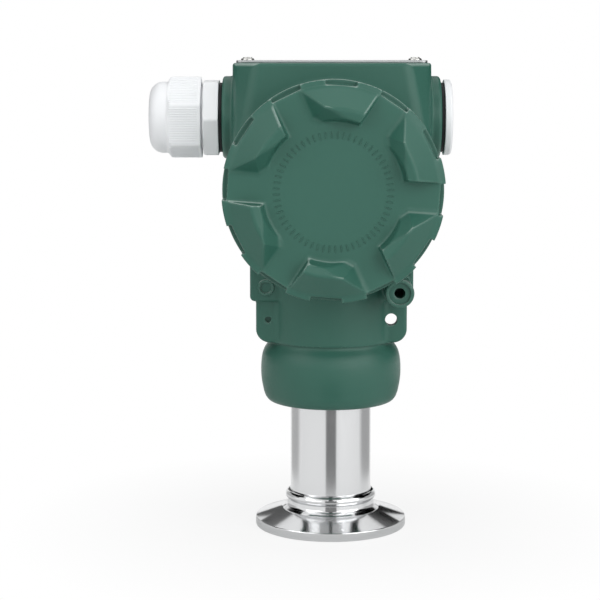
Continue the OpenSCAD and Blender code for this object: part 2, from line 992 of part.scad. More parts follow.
module sensor_cell() {
    ring_z = cell_z + 4;
    color("#b4b6b8")
        difference() {
            translate([0, 0, cell_z])
                cylinder(d = cell_d, h = cell_h);
            translate([0, 0, ring_z - small_ring_t / 2 - 0.15])
                tube(cell_d / 2 + 1, cell_d / 2 - small_ring_t, small_ring_t + 0.3);
        }
}

module cell_oring() {
    color(black_rubber)
        translate([0, 0, cell_z + 4])
            torus(cell_d / 2 - small_ring_t / 2 + 0.02, small_ring_t);
}

module cell_retainer() {
    color(brass_tone)
        translate([0, 0, cell_z + cell_h])
            difference() {
                tube(cell_d / 2, cell_d / 2 - 3, retainer_h);
                translate([-cell_d, -1, retainer_h - 1.5])
                    cube([2 * cell_d, 2, 3]);
            }
}

module header_pins() {
    color(brass_tone)
        for (a = [0 : 60 : 300])
            rotate([0, 0, a])
                translate([3.6, 0, cell_z + cell_h])
                    cylinder(d = 0.8, h = header_z - cell_z - cell_h, $fn = 24);
}

module compensation_board() {
    color(board_green)
        translate([0, 0, header_z])
            cylinder(d = 11, h = header_top - header_z);
}

// Cable gland, drawn from the middle of the housing out of the left entry

hex_z = entry_end + washer_t;
neck_z = hex_z + gland_hex_l;
nut_z = neck_z + 0.65;
dome_z = nut_z + nut_hex_l;
gland_end = dome_z + dome_l;
collar_r = 10.4;
cup_r = collar_r - 1.2;
cup_z = neck_z + 2;
claw_end = dome_z + 1.6;
claw_r = cup_r - 0.1;
seal_r = cable_d / 2 + 1.2;

module hexagon(af, h, turn) {
    rotate([0, 0, turn])
        intersection() {
            cylinder(r = af / 2 / cos(30), h = h, $fn = 6);
            cylinder(r = af / 2 / cos(30) - 0.15, h = h);
        }
}

module gland_body() {
    color(nylon)
        left_entry()
            difference() {
                union() {
                    translate([0, 0, entry_end - screw_l])
                        cylinder(d = entry_thread_d - 2 * fit, h = screw_l + washer_t + past);
                    translate([0, 0, hex_z])
                        hexagon(gland_af, gland_hex_l, 24.8);
                    translate([0, 0, neck_z - past])
                        cylinder(r = collar_r, h = past + 7);
                }
                translate([0, 0, entry_end - screw_l - past])
                    cylinder(d = cable_d + 1.2, h = 40);
                translate([0, 0, cup_z])
                    cylinder(r = cup_r, h = 20);
            }
}

module flat_washer() {
    translate([0, 0, entry_end])
        tube(washer_d / 2, entry_thread_d / 2 + 0.1, washer_t);
}

module gland_washer() {
    color(black_rubber)
        left_entry()
            flat_washer();
}

module gland_claw() {
    color(nylon)
        left_entry()
            difference() {
                translate([0, 0, cup_z + 0.1])
                    tube(claw_r, seal_r + fit, claw_end - cup_z - 0.1);
                for (a = [0 : 45 : 135])
                    rotate([0, 0, a])
                        translate([-claw_r - past, -0.5, cup_z + 4])
                            cube([2 * (claw_r + past), 1, claw_end]);
            }
}

module gland_seal() {
    color(black_rubber)
        left_entry()
            translate([0, 0, cup_z + 0.6])
                tube(seal_r, cable_d / 2, claw_end - cup_z - 1);
}

module gland_nut() {
    mouth_r = cable_d / 2 + 0.4;
    thread_end = neck_z + 7.6;
    color(nylon)
        left_entry()
            difference() {
                union() {
                    translate([0, 0, nut_z])
                        hexagon(gland_af, nut_hex_l, 49.1);
                    rotate_extrude()
                        polygon(concat([[0, dome_z - 1], [dome_d / 2, dome_z - 1]],
                            [for (a = [0 : 9 : 90])
                                [dome_d / 2 - dome_r + dome_r * cos(a),
                                    gland_end - dome_r + dome_r * sin(a)]],
                            [[0, gland_end]]));
                }
                translate([0, 0, nut_z - past])
                    cylinder(r = collar_r + fit, h = thread_end - nut_z + past);
                translate([0, 0, thread_end - 0.1])
                    cylinder(r = claw_r + 0.3, h = claw_end + 0.4 - thread_end + 0.1);
                translate([0, 0, claw_end + 0.3])
                    cylinder(r1 = claw_r + 0.3, r2 = mouth_r, h = 2.2);
                translate([0, 0, claw_end])
                    cylinder(r = mouth_r, h = 20);
            }
}

// Blind plug in the right entry

module blind_plug() {
    bevel = 0.5;
    head_r = plug_d / 2;
    color(nylon)
        right_entry()
            difference() {
                rotate_extrude()
                    polygon([[0, entry_end - screw_l], [entry_thread_d / 2 - fit, entry_end - screw_l],
                        [entry_thread_d / 2 - fit, hex_z], [head_r, hex_z],
                        [head_r, hex_z + plug_t - bevel], [head_r - bevel, hex_z + plug_t],
                        [0, hex_z + plug_t]]);
                translate([0, 0, entry_end - screw_l - past])
                    cylinder(d = entry_thread_d - 5, h = screw_l);
                translate([-8, -1.1, hex_z + plug_t - 1.1])
                    cube([16, 2.2, 3]);
            }
}

module plug_washer() {
    color(black_rubber)
        right_entry()
            flat_washer();
}

housing();
nameplate();
nameplate_screws();
front_cover();
front_cover_oring();
rear_cover();
rear_cover_oring();
terminal_block();
terminal_screws();
terminal_clamps();
terminal_block_screws();
feedthrough_bushes();
feedthrough_pins();
ground_screw();
ground_clamp();
board_standoffs();
amplifier_board();
board_components();
button_switches();
electronics_shroud();
shroud_screws();
zero_button();
span_button();
sensor_connector();
sensor_ribbon();
compensation_board();
header_pins();
cell_retainer();
sensor_cell();
cell_oring();
stem();
diaphragm();
stem_oring();
stem_lock_screw();
gland_body();
gland_washer();
gland_claw();
gland_seal();
gland_nut();
blind_plug();
plug_washer();
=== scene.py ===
# Field pressure transmitter, dressed over its packed construction model.
# Metres in Blender, millimetres in the fields and profiles below. The front
# cover faces -Y, the cable gland is at -X and the stem stands on Z = 0.

import itertools
import math

import bpy
import numpy as np
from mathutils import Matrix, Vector


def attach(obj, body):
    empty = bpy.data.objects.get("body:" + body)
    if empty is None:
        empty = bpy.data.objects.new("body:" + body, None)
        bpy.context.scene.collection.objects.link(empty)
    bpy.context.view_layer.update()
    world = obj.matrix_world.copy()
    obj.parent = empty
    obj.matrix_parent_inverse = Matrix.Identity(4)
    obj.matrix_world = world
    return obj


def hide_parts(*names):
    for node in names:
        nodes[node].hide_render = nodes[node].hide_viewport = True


bl_info = {
    "name": "Pressure transmitter",
    "version": (1, 0, 0),
    "blender": (4, 5, 0),
    "location": "View3D > Sidebar > Transmitter",
    "description": "Builds the cast housing, covers, gland and steel stem of a field transmitter",
    "category": "Add Mesh",
}

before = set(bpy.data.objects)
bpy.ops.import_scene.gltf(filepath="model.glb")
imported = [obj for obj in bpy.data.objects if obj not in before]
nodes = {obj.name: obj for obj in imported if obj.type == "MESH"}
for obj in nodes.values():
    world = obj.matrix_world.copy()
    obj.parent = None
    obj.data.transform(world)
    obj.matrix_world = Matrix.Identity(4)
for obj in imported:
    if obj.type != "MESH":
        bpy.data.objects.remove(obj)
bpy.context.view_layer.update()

MM = 0.001
COVER_TURNS = {"front_cover": 4, "rear_cover": 17}  # degrees, clockwise
TICKS_AT = 17.6  # radius of the ring of ticks on each cover
NUT_TURN, BODY_TURN = 49.1, 28.5  # how far the gland's two hexagons are turned, in degrees
PLATE = (31, 12, 0.8)  # half width, half depth and thickness of the nameplate
PLATE_HOLE = 27.6  # distance of the nameplate's screws from its middle


def linear(text):
    """A hex colour as the linear red, green and blue that a shader takes."""
    parts = [int(text[k:k + 2], 16) / 255 for k in (0, 2, 4)]
    return tuple(c / 12.92 if c <= 0.04045 else ((c + 0.055) / 1.055) ** 2.4 for c in parts)


def amount(name, text, value, **more):
    return bpy.props.FloatProperty(name=name, description=text, default=value, **more)


def length(name, text, value):
    return amount(name, text, value * MM, unit="LENGTH", precision=5)


def tint(name, text, value):
    return bpy.props.FloatVectorProperty(
        name=name, description=text, default=linear(value), size=3, subtype="COLOR",
        min=0, max=1)


def group(kind, name):
    return bpy.props.PointerProperty(type=kind, name=name, description=kind.__doc__)


class CastingSizes(bpy.types.PropertyGroup):
    """Sizes of the die-cast housing"""
    foot: length("Foot", "Height of the lower face above the ferrule", 42.6)
    bulb_rise: length("Bulb", "Height of the bulb", 20.8)
    neck: length("Neck", "Radius of the neck", 21.5)
    axis: length("Barrel axis", "Height of the barrel's axis", 115.8)
    barrel: length("Barrel", "Radius of the barrel", 33.0)
    barrel_half: length("Barrel half", "Half the barrel's length", 34.3)
    block_x: length("Block half width", "Half the width of the top block", 32.2)
    block_y: length("Block half depth", "Half the depth of the top block", 22.0)
    block_top: length("Block top", "Height of the nameplate's face", 155.2)
    entry: length("Entry axis", "Height of the cable entries", 137.2)
    entry_end: length("Entry end", "Distance of the entries' faces from the middle", 35.8)
    entry_radius: length("Entry radius", "Outer radius of the cable entries", 13.6)
    ear_x: length("Ear half width", "Half the width of the lower ears", 24.8)
    ear_top_x: length("Upper ear half width", "Half the width of the upper ears", 26.7)
    step: length("Ear step", "Height of the step between the ears", 77.6)
    lock: length("Lock height", "Height of the lock bosses", 82.2)


class CoverSizes(bpy.types.PropertyGroup):
    """Sizes of the two screwed covers"""
    radius: length("Rim", "Radius of the rim", 34.6)
    height: length("Rim height", "Height of the rim", 10.0)
    flange: length("Flange", "Thickness of the flange behind the notches", 3.0)
    notch: length("Notch", "Depth of the notches in the rim", 1.8)
    lobe: length("Lobes", "Height of the lobes above the face", 6.5)
    foot: length("Lobe foot", "Radius at the lobes' feet", 33.2)
    ridge: length("Lobe ridge", "Radius at the lobes' ridge", 25.8)
    inner: length("Lobe inner edge", "Radius at the lobes' inner edge", 22.0)
    seat: length("Seat", "Distance of the rim's back from the middle", 34.7)


class GlandSizes(bpy.types.PropertyGroup):
    """Sizes of the cable gland and the blind plug"""
    flats: length("Flats", "Half the width across the hexagons' flats", 12.0)
    hex_at: length("Hexagon", "Distance of the body's hexagon from the middle", 37.0)
    hex_long: length("Hexagon length", "Length of the body's hexagon", 5.1)
    nut_long: length("Nut length", "Length of the nut's hexagon", 11.0)
    dome_long: length("Dome length", "Length of the nut's dome", 6.1)
    dome: length("Dome", "Radius of the nut's dome", 11.75)
    mouth: length("Mouth", "Radius of the cable's mouth", 6.6)
    plug: length("Plug", "Radius of the blind plug's head", 12.45)
    plug_thick: length("Plug head", "Thickness of the blind plug's head", 2.45)
    rib_pitch: length("Rib pitch", "Distance between the nut's grip ribs", 0.8)
    ribs: bpy.props.IntProperty(
        name="Ribs", description="Grip ribs on each face of the nut", default=15, min=1, max=16)


class StemSizes(bpy.types.PropertyGroup):
    """Sizes of the turned steel stem"""
    tube: length("Tube", "Radius of the stem", 13.5)
    ferrule: length("Ferrule", "Radius of the clamp ferrule", 25.25)
    rim: length("Rim", "Thickness of the ferrule's rim", 2.85)
    top: length("Top", "Height of the stem's hidden end", 58.2)


class Finishes(bpy.types.PropertyGroup):
    """Colours of what shows"""
    paint: tint("Paint", "Powder paint on the castings", "305F52")
    nylon: tint("Nylon", "Moulded gland and plug", "EEF0F2")
    steel: tint("Steel", "Turned and polished stem", "DCDDDE")
    rubber: tint("Rubber", "Flat washers and rings", "0F1114")


class StageSettings(bpy.types.PropertyGroup):
    """Camera and lamps"""
    far: length("Distance", "Distance of the camera in front of the stem", 597.3)
    side: length("Side", "Distance of the camera to the right of the stem", -10.35)
    high: length("Height", "Height of the camera", 159.04)
    tilt: amount("Tilt", "How far the camera looks down", math.radians(6.5), subtype="ANGLE")
    lens: amount("Lens", "Focal length in millimetres", 108.0)
    room: amount("Room", "Level of the light from all round", 0.46, min=0)
    key: amount("Left lamp", "Power of the large lamp on the left", 2.6, subtype="POWER")
    fill: amount("Right lamp", "Power of the large lamp on the right", 4.4, subtype="POWER")
    top: amount("Top lamp", "Power of the long narrow lamp overhead", 1.25, subtype="POWER")
    front: amount("Front lamp", "Power of the lamp above the camera", 2.4, subtype="POWER")


class Transmitter(bpy.types.PropertyGroup):
    """Everything that a user would change"""
    casting: group(CastingSizes, "Casting")
    cover: group(CoverSizes, "Covers")
    gland: group(GlandSizes, "Gland")
    stem: group(StemSizes, "Stem")
    finishes: group(Finishes, "Finishes")
    stage: group(StageSettings, "Stage")


def shared(name):
    return getattr(bpy.context.scene.transmitter, name)


def sizes(name):
    """A group's lengths in millimetres, by name."""
    values = shared(name)
    return {k: getattr(values, k) / MM for k in values.__annotations__
            if isinstance(getattr(values, k), float)}


# Fields: numbers below zero are inside the solid, and the surface is at zero

def solid(edge, *faces):
    """A body bounded by faces at right angles to each other, its edges rounded."""
    reach = [f + edge for f in faces]
    outside = sum(np.maximum(r, 0) ** 2 for r in reach) ** 0.5
    inside = reach[0]
    for r in reach[1:]:
        inside = np.maximum(inside, r)
    return outside + np.minimum(inside, 0) - edge


def join(a, b, fillet):
    """Both bodies, with a cast fillet where they meet."""
    h = np.clip(0.5 + 0.5 * (b - a) / fillet, 0, 1)
    return b + (a - b) * h - fillet * h * (1 - h)


def carve(a, b, edge):
    """Body a without body b, the new edge rounded."""
    return -join(-a, b, edge)


def common(a, b, edge):
    """What lies in both bodies, the new edge rounded."""
    return -join(-a, -b, edge)


def between(value, low, high):
    return np.maximum(low - value, value - high)


def grow(body, *parts):
    """The body joined by parts, each given as its edges' rounding, its fillet and its faces."""
    for edge, fillet, *faces in parts:
        body = join(body, solid(edge, *faces), fillet)
    return body


def drill(body, *cuts):
    """The body less some cuts, each given as its edges' rounding, its rim's and its faces."""
    for edge, rim, *faces in cuts:
        body = carve(body, solid(edge, *faces), rim)
    return body


def eased(points):
    """A smooth curve through points, as two arrays for np.interp."""
    p = np.array(points, float)
    slope = np.gradient(p[:, 1], p[:, 0])
    t = np.linspace(p[0, 0], p[-1, 0], 160)
    k = np.clip(np.searchsorted(p[:, 0], t, "right") - 1, 0, len(p) - 2)
    span = p[k + 1, 0] - p[k, 0]
    s = (t - p[k, 0]) / span
    value = ((1 + 2 * s) * (1 - s) ** 2 * p[k, 1] + s * (1 - s) ** 2 * span * slope[k]
             + s * s * (3 - 2 * s) * p[k + 1, 1] + s * s * (s - 1) * span * slope[k + 1])
    return t, value


def slope_of(field, points):
    """The field's direction of steepest rise at each point, of length one, and how steep it is."""
    step = 0.04  # how far from the point the field is read
    corners = np.array([(1, -1, -1), (-1, -1, 1), (-1, 1, -1), (1, 1, 1)], float)
    rise = np.zeros_like(points)
    for c in corners:
        q = points + c * step
        rise += c * field(q[:, 0], q[:, 1], q[:, 2])[:, None]
    rise /= 4 * step
    size = np.maximum(np.linalg.norm(rise, axis=1), 1e-6)
    return rise / size[:, None], size


def drawn_on(field, points, limit):
    """The points moved onto the field's surface."""
    start = points.copy()
    for _ in range(2):
        way, size = slope_of(field, points)
        off = field(points[:, 0], points[:, 1], points[:, 2]) / size
        points = points - way * np.clip(off, -limit / 2, limit / 2)[:, None]
        points = start + np.clip(points - start, -limit, limit)
    return points


def skin(field, low, high, pitch):
    """Points and four-sided faces of the field's surface. Each crossed cell gets one point,
    placed where the surface's planes at the cell's crossed edges meet, so corners stay crisp."""
    lines = [np.arange(a - 1.5 * pitch, b + 2.5 * pitch, pitch) for a, b in zip(low, high)]
    value = field(*np.ix_(*(line.astype(np.float32) for line in lines)))
    within = value < 0
    cells = tuple(n - 1 for n in within.shape)
    count = np.zeros(cells, np.int8)
    for i, j, k in itertools.product((0, 1), repeat=3):
        count += within[i:cells[0] + i, j:cells[1] + j, k:cells[2] + k]
    crossed = (count > 0) & (count < 8)
    number = np.full(cells, -1, np.int32)
    total = int(crossed.sum())
    number[crossed] = np.arange(total)
    faces, hits = [], []
    for axis in range(3):
        one, two = (tuple(part if a == axis else slice(None) for a in range(3))
                    for part in (slice(0, -1), slice(1, None)))
        edges = np.argwhere(within[one] != within[two])
        b, c = (a for a in range(3) if a != axis)
        edges = edges[(edges[:, b] > 0) & (edges[:, c] > 0)]
        first, second = value[one][tuple(edges.T)], value[two][tuple(edges.T)]
        at = np.stack([lines[a][edges[:, a]] for a in range(3)], 1)
        at[:, axis] += pitch * np.clip(first / (first - second), 0, 1)
        hits.append(at)
        ring = []
        for down_b, down_c in ((0, 0), (1, 0), (1, 1), (0, 1)):
            e = edges.copy()
            e[:, b] -= down_b
            e[:, c] -= down_c
            ring.append(number[tuple(e.T)])
        ring = np.stack(ring, 1)
        flip = (first < 0) if axis != 1 else (first >= 0)
        ring[~flip] = ring[~flip][:, ::-1]
        faces.append(ring)
    hits = drawn_on(field, np.concatenate(hits), pitch)
    faces = np.concatenate(faces)
    way = slope_of(field, hits)[0]
    level = (way * hits).sum(1)

    def gather(amount):
        return sum(np.bincount(faces[:, k], amount, total) for k in range(4))

    weight = np.maximum(gather(np.ones(len(hits))), 1)
    middle = np.stack([gather(hits[:, a]) / weight for a in range(3)], 1)
    square = np.empty((total, 3, 3))
    for a, b in itertools.combinations_with_replacement(range(3), 2):
        square[:, a, b] = square[:, b, a] = gather(way[:, a] * way[:, b])
    right = np.stack([gather(way[:, a] * level) for a in range(3)], 1)
    right -= np.einsum("nab,nb->na", square, middle)
    # A little weight keeps each point near the middle where the planes are almost level
    square += 0.04 * weight[:, None, None] * np.eye(3)
    shift = np.linalg.solve(square, right[:, :, None])[:, :, 0]
    return middle + np.clip(shift, -pitch, pitch), faces


def mesh_of(name, points, faces, field=None, place=None, normals=None):
    """A Blender mesh of points in millimetres, put in place, with the field's own shading."""
    turn, shift = place or (np.eye(3), np.zeros(3))
    turn = np.array(turn, float)
    mesh = bpy.data.meshes.new(name)
    world = (points @ turn.T + np.array(shift)) * MM
    mesh.from_pydata(world.tolist(), [], faces.tolist() if hasattr(faces, "tolist") else faces)
    mesh.shade_smooth()
    if field is not None:
        way = slope_of(field, points)[0]
        # How near another face is just inside, and how near a wall is just outside; the paint uses
        # these for smoother edges, painted edge highlights and painted shade in hollows
        for label, side, deep in (("edge", -1, 0.7), ("hollow", 1, 1.8)):
            probe = points + side * deep * way
            value = 1 + side * -field(probe[:, 0], probe[:, 1], probe[:, 2]) / deep
            layer = mesh.attributes.new(label, "FLOAT", "POINT")
            layer.data.foreach_set("value", np.clip(value, 0, 1).astype(np.float32))
        # Each corner is shaded as the surface lies just inside its face
        corners = np.empty(len(mesh.loops), np.int32)
        mesh.loops.foreach_get("vertex_index", corners)
        sides = np.empty(len(mesh.polygons), np.int32)
        mesh.polygons.foreach_get("loop_total", sides)
        owner = np.repeat(np.arange(len(sides)), sides)
        own = points[corners]
        middle = np.stack([np.bincount(owner, own[:, a]) for a in range(3)], 1) / sides[:, None]
        inward = middle[owner] - own
        far = np.linalg.norm(inward, axis=1)[:, None]
        spot = own + inward * np.minimum(0.5, 0.2 / np.maximum(far, 1e-6))
        shade = slope_of(field, spot)[0]
        mesh.normals_split_custom_set((shade @ turn.T).tolist())
    if normals is not None:
        mesh.normals_split_custom_set_from_vertices((normals @ turn.T).tolist())
    return mesh


def fine(pitch):
    return pitch * 1


def cast(name, field, low, high, pitch, place=None, most=None):
    """A mesh of the field, thinned to fewer triangles where most is given."""
    points, faces = skin(field, low, high, fine(pitch))
    if most and len(faces) * 2 > most:
        rough = bpy.data.meshes.new(name + "_rough")
        rough.from_pydata(points.tolist(), [], faces.tolist())
        holder = linked(name + "_rough", rough)
        holder.modifiers.new("thin", "DECIMATE").ratio = most / (len(faces) * 2)
        done = evaluated(holder)
        points = np.array([v.co for v in done.vertices], float)
        faces = [list(p.vertices) for p in done.polygons]
        bpy.data.objects.remove(holder)
        bpy.data.meshes.remove(rough)
        bpy.data.meshes.remove(done)
    return mesh_of(name, points, faces, field, place)


def linked(name, data):
    """An object of the data, in the scene."""
    obj = bpy.data.objects.new(name, data)
    bpy.context.scene.collection.objects.link(obj)
    return obj


def evaluated(obj):
    """The object's mesh with its modifiers applied."""
    graph = bpy.context.evaluated_depsgraph_get()
    return bpy.data.meshes.new_from_object(obj.evaluated_get(graph))


def profile(points, radii, closed=False):
    """A turned profile with rounded corners: its points, and which way each faces."""
    p = [np.array(q, float) for q in points]
    count = len(p)
    out, face = [], []  # the points, and which way each faces

    def outward(a, b):
        d = (b - a) / np.linalg.norm(b - a)
        return np.array([d[1], -d[0]])

    for k in range(count):
        if not closed and k in (0, count - 1):
            a, b = (p[0], p[1]) if k == 0 else (p[-2], p[-1])
            out.append(p[k])
            face.append(outward(a, b))
            continue
        before, here, after = p[k - 1], p[k], p[(k + 1) % count]
        r = radii[k] if radii[k] else 0.02
        n1, n2 = outward(before, here), outward(here, after)
        bend = math.acos(max(-1, min(1, float(n1 @ n2))))
        cut = r * math.tan(bend / 2)
        room = 0.49 * min(np.linalg.norm(here - before), np.linalg.norm(after - here))
        if cut > room:
            cut, r = room, room / math.tan(bend / 2)
        d1 = (here - before) / np.linalg.norm(here - before)
        turn_left = d1[0] * (after - here)[1] - d1[1] * (after - here)[0] > 0
        side = -1 if turn_left else 1
        centre = here - d1 * cut + n1 * r * side
        steps = max(1, int(math.degrees(bend) / 9)) if r > 0.05 else 1
        for s in range(steps + 1):
            t = s / steps
            n = (n1 * math.sin((1 - t) * bend) + n2 * math.sin(t * bend)) / max(
                math.sin(bend), 1e-6) if bend > 1e-3 else n1
            out.append(centre - n * r * side)
            face.append(n)
    return np.array(out), np.array(face)


def turned(name, points, radii, place=None, closed=False, around=192):
    """A lathe-turned mesh; the profile runs from the bottom outwards and up."""
    p, n = profile(points, radii, closed)
    angle = np.linspace(0, 2 * math.pi, around, endpoint=False)
    c, s = np.cos(angle), np.sin(angle)
    verts, normals, rings = [], [], []
    for (r, z), (nr, nz) in zip(p, n):
        if r < 1e-6:
            rings.append([len(verts)])
            verts.append((0, 0, z))
            normals.append((0, 0, math.copysign(1, nz)))
            continue
        rings.append(list(range(len(verts), len(verts) + around)))
        verts += list(zip(r * c, r * s, np.full(around, z)))
        normals += list(zip(nr * c, nr * s, np.full(around, nz)))
    faces = []
    pairs = list(zip(rings, rings[1:])) + ([(rings[-1], rings[0])] if closed else [])
    for low, high in pairs:
        for k in range(around):
            m = (k + 1) % around
            ring = [low[k % len(low)], low[m % len(low)], high[m % len(high)], high[k % len(high)]]
            ring = list(dict.fromkeys(ring))
            if len(ring) > 2:
                faces.append(ring)
    return mesh_of(name, np.array(verts, float), faces, None, place, np.array(normals, float))


def frustum(name, low, high, foot, tip, upright=True):
    """A block whose tip is smaller than its foot, both given as half sizes. It rises along
    its Z axis, or along its X axis with the sizes along Y and Z."""
    spots = [(x * a, y * b, z) for (x, y), z in ((foot, low), (tip, high))
             for a, b in ((-1, -1), (1, -1), (1, 1), (-1, 1))]
    if not upright:
        spots = [(z, x, y) for x, y, z in spots]
    mesh = bpy.data.meshes.new(name)
    mesh.from_pydata([[c * MM for c in spot] for spot in spots], [], [
        (3, 2, 1, 0), (4, 5, 6, 7), (0, 1, 5, 4), (1, 2, 6, 5), (2, 3, 7, 6), (3, 0, 4, 7)])
    return mesh


def placed(side):
    """Where a piece's own axes lie: a matrix whose columns are its right, up and outward
    directions, and its origin on the axis of the barrel or of the cable entries."""
    axes = {"front": [[1, 0, 0], [0, 0, -1], [0, 1, 0]],
            "rear": [[-1, 0, 0], [0, 0, 1], [0, 1, 0]],
            "left": [[0, 0, -1], [0, 1, 0], [1, 0, 0]],
            "right": [[0, 0, 1], [0, -1, 0], [1, 0, 0]]}[side]
    s = sizes("casting")
    height = s["axis"] if side in ("front", "rear") else s["entry"]
    return np.array(axes), np.array([0, 0, height])


def turned_by(spot, degrees):
    """The place turned clockwise as seen from outside."""
    a = math.radians(-degrees)
    spin = np.array([[math.cos(a), -math.sin(a), 0], [math.sin(a), math.cos(a), 0], [0, 0, 1]])
    return spot[0] @ spin, spot[1]


def moved_out(spot, far):
    return spot[0], spot[0] @ np.array([0, 0, far]) + spot[1]


def piece(mesh, body, material, slot, *cad_nodes):
    """A visible piece, named as its mesh is, that takes the place of the given nodes."""
    obj = linked(mesh.name, mesh)
    mesh.materials.clear()
    mesh.materials.append(finish(material))
    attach(obj, body)
    if cad_nodes:
        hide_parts(*cad_nodes)
    return obj


# Finishes

def wire(node, inputs):
    """Sets or links a node's inputs. A node given as a value stands for its first output."""
    for key, value in inputs.items():
        if isinstance(value, bpy.types.Node):
            value = next(out for out in value.outputs if out.enabled)
        if isinstance(value, bpy.types.NodeSocket):
            node.id_data.links.new(value, node.inputs[key])
        else:
            node.inputs[key].default_value = value


def add(tree, kind, inputs=None, **settings):
    """One node with its settings and inputs. A shader node's kind goes without its prefix."""
    node = tree.nodes.new(kind if "Node" in kind else "ShaderNode" + kind)
    for key, value in settings.items():
        setattr(node, key, value)
    wire(node, inputs or {})
    return node


def paint_details(tree, shader, where, patch, relief, level):
    """Paint runs thin and smooth on sharp edges, lightened there as thinner paint and as a painted
    highlight; the hollows are darkened as painted shade.
    """
    hollow = add(tree, "Attribute", attribute_name="hollow").outputs["Fac"]
    edge = add(tree, "Attribute", attribute_name="edge").outputs["Fac"]
    # Painted shade: the paint is mixed toward a darker green where walls close round it
    shade = add(tree, "MapRange", {
        "Value": hollow, "From Min": 0.25, "From Max": 0.9, "To Max": 0.1})
    deep = add(tree, "Mix", {"Factor": shade, "A": patch, "B": linear("274238") + (1,)},
               data_type="RGBA")
    # Sharp edges are smoother, and a little lighter as thinner paint and as a painted highlight
    worn_and_sheen = add(tree, "MapRange", {"Value": edge, "From Min": 0.2, "From Max": 0.6})
    thin = add(tree, "Math", {0: worn_and_sheen, 1: 0.15}, operation="MULTIPLY")
    thin_paint_and_sheen = add(tree, "Mix", {"Factor": thin, "A": deep, "B": linear("86AC9E") + (1,)},
               data_type="RGBA")
    # Painted highlight: sharp edges that face upward get a thin pale line, as the lamp overhead
    # would light them
    normal = add(tree, "NewGeometry").outputs["Normal"]
    upward = add(tree, "MapRange", {
        "Value": add(tree, "SeparateXYZ", {"Vector": normal}).outputs["Z"],
        "From Min": 0.35, "From Max": 0.75})
    crisp = add(tree, "MapRange", {
        "Value": edge, "From Min": 0.16, "From Max": 0.27, "To Max": 0.38})
    both = add(tree, "Math", {0: upward, 1: crisp}, operation="MULTIPLY")
    painted_edge_highlight = add(tree, "Mix", {"Factor": both, "A": thin_paint_and_sheen, "B": linear("C9D8D2") + (1,)},
                 data_type="RGBA")
    smooth = add(tree, "Mix", {"Factor": worn_and_sheen, "A": level, "B": 0.13})
    speckle = add(tree, "TexNoise", {"Vector": where, "Scale": 1000 / 0.35, "Detail": 2.0})
    grained = add(tree, "Bump", {
        "Height": speckle, "Strength": 0.1, "Distance": 0.02 * MM, "Normal": relief})
    wire(shader, {"Specular IOR Level": 0.35, "Base Color": painted_edge_highlight, "Roughness": smooth,
                  "Normal": grained})


def lathe_details(tree, shader, where, patch, relief, level):
    """Tool marks run round the bar, so highlights spread along it; the ferrule is smoother."""
    apart = add(tree, "SeparateXYZ", {"Vector": where}).outputs
    back = add(tree, "Math", {0: apart["Y"], 1: -1.0}, operation="MULTIPLY")
    around = add(tree, "CombineXYZ", {"X": back, "Y": apart["X"]})
    above = add(tree, "MapRange", {
        "Value": apart["Z"], "From Min": 12.2 * MM, "From Max": 12.8 * MM, "To Min": 0.7})
    scaled = add(tree, "Math", {0: level, 1: above}, operation="MULTIPLY")
    marks = add(tree, "TexWave", {
        "Vector": where, "Scale": 1000 / 0.5 / 6.28, "Distortion": 0.4, "Detail": 1.0},
        bands_direction="Z").outputs["Fac"]
    ringed = add(tree, "Bump", {
        "Height": marks, "Strength": 0.02, "Distance": 0.01 * MM, "Normal": relief})
    wire(shader, {"Anisotropic": 0.75, "Anisotropic Rotation": 0.25, "Tangent": around,
                  "Roughness": scaled, "Normal": ringed})


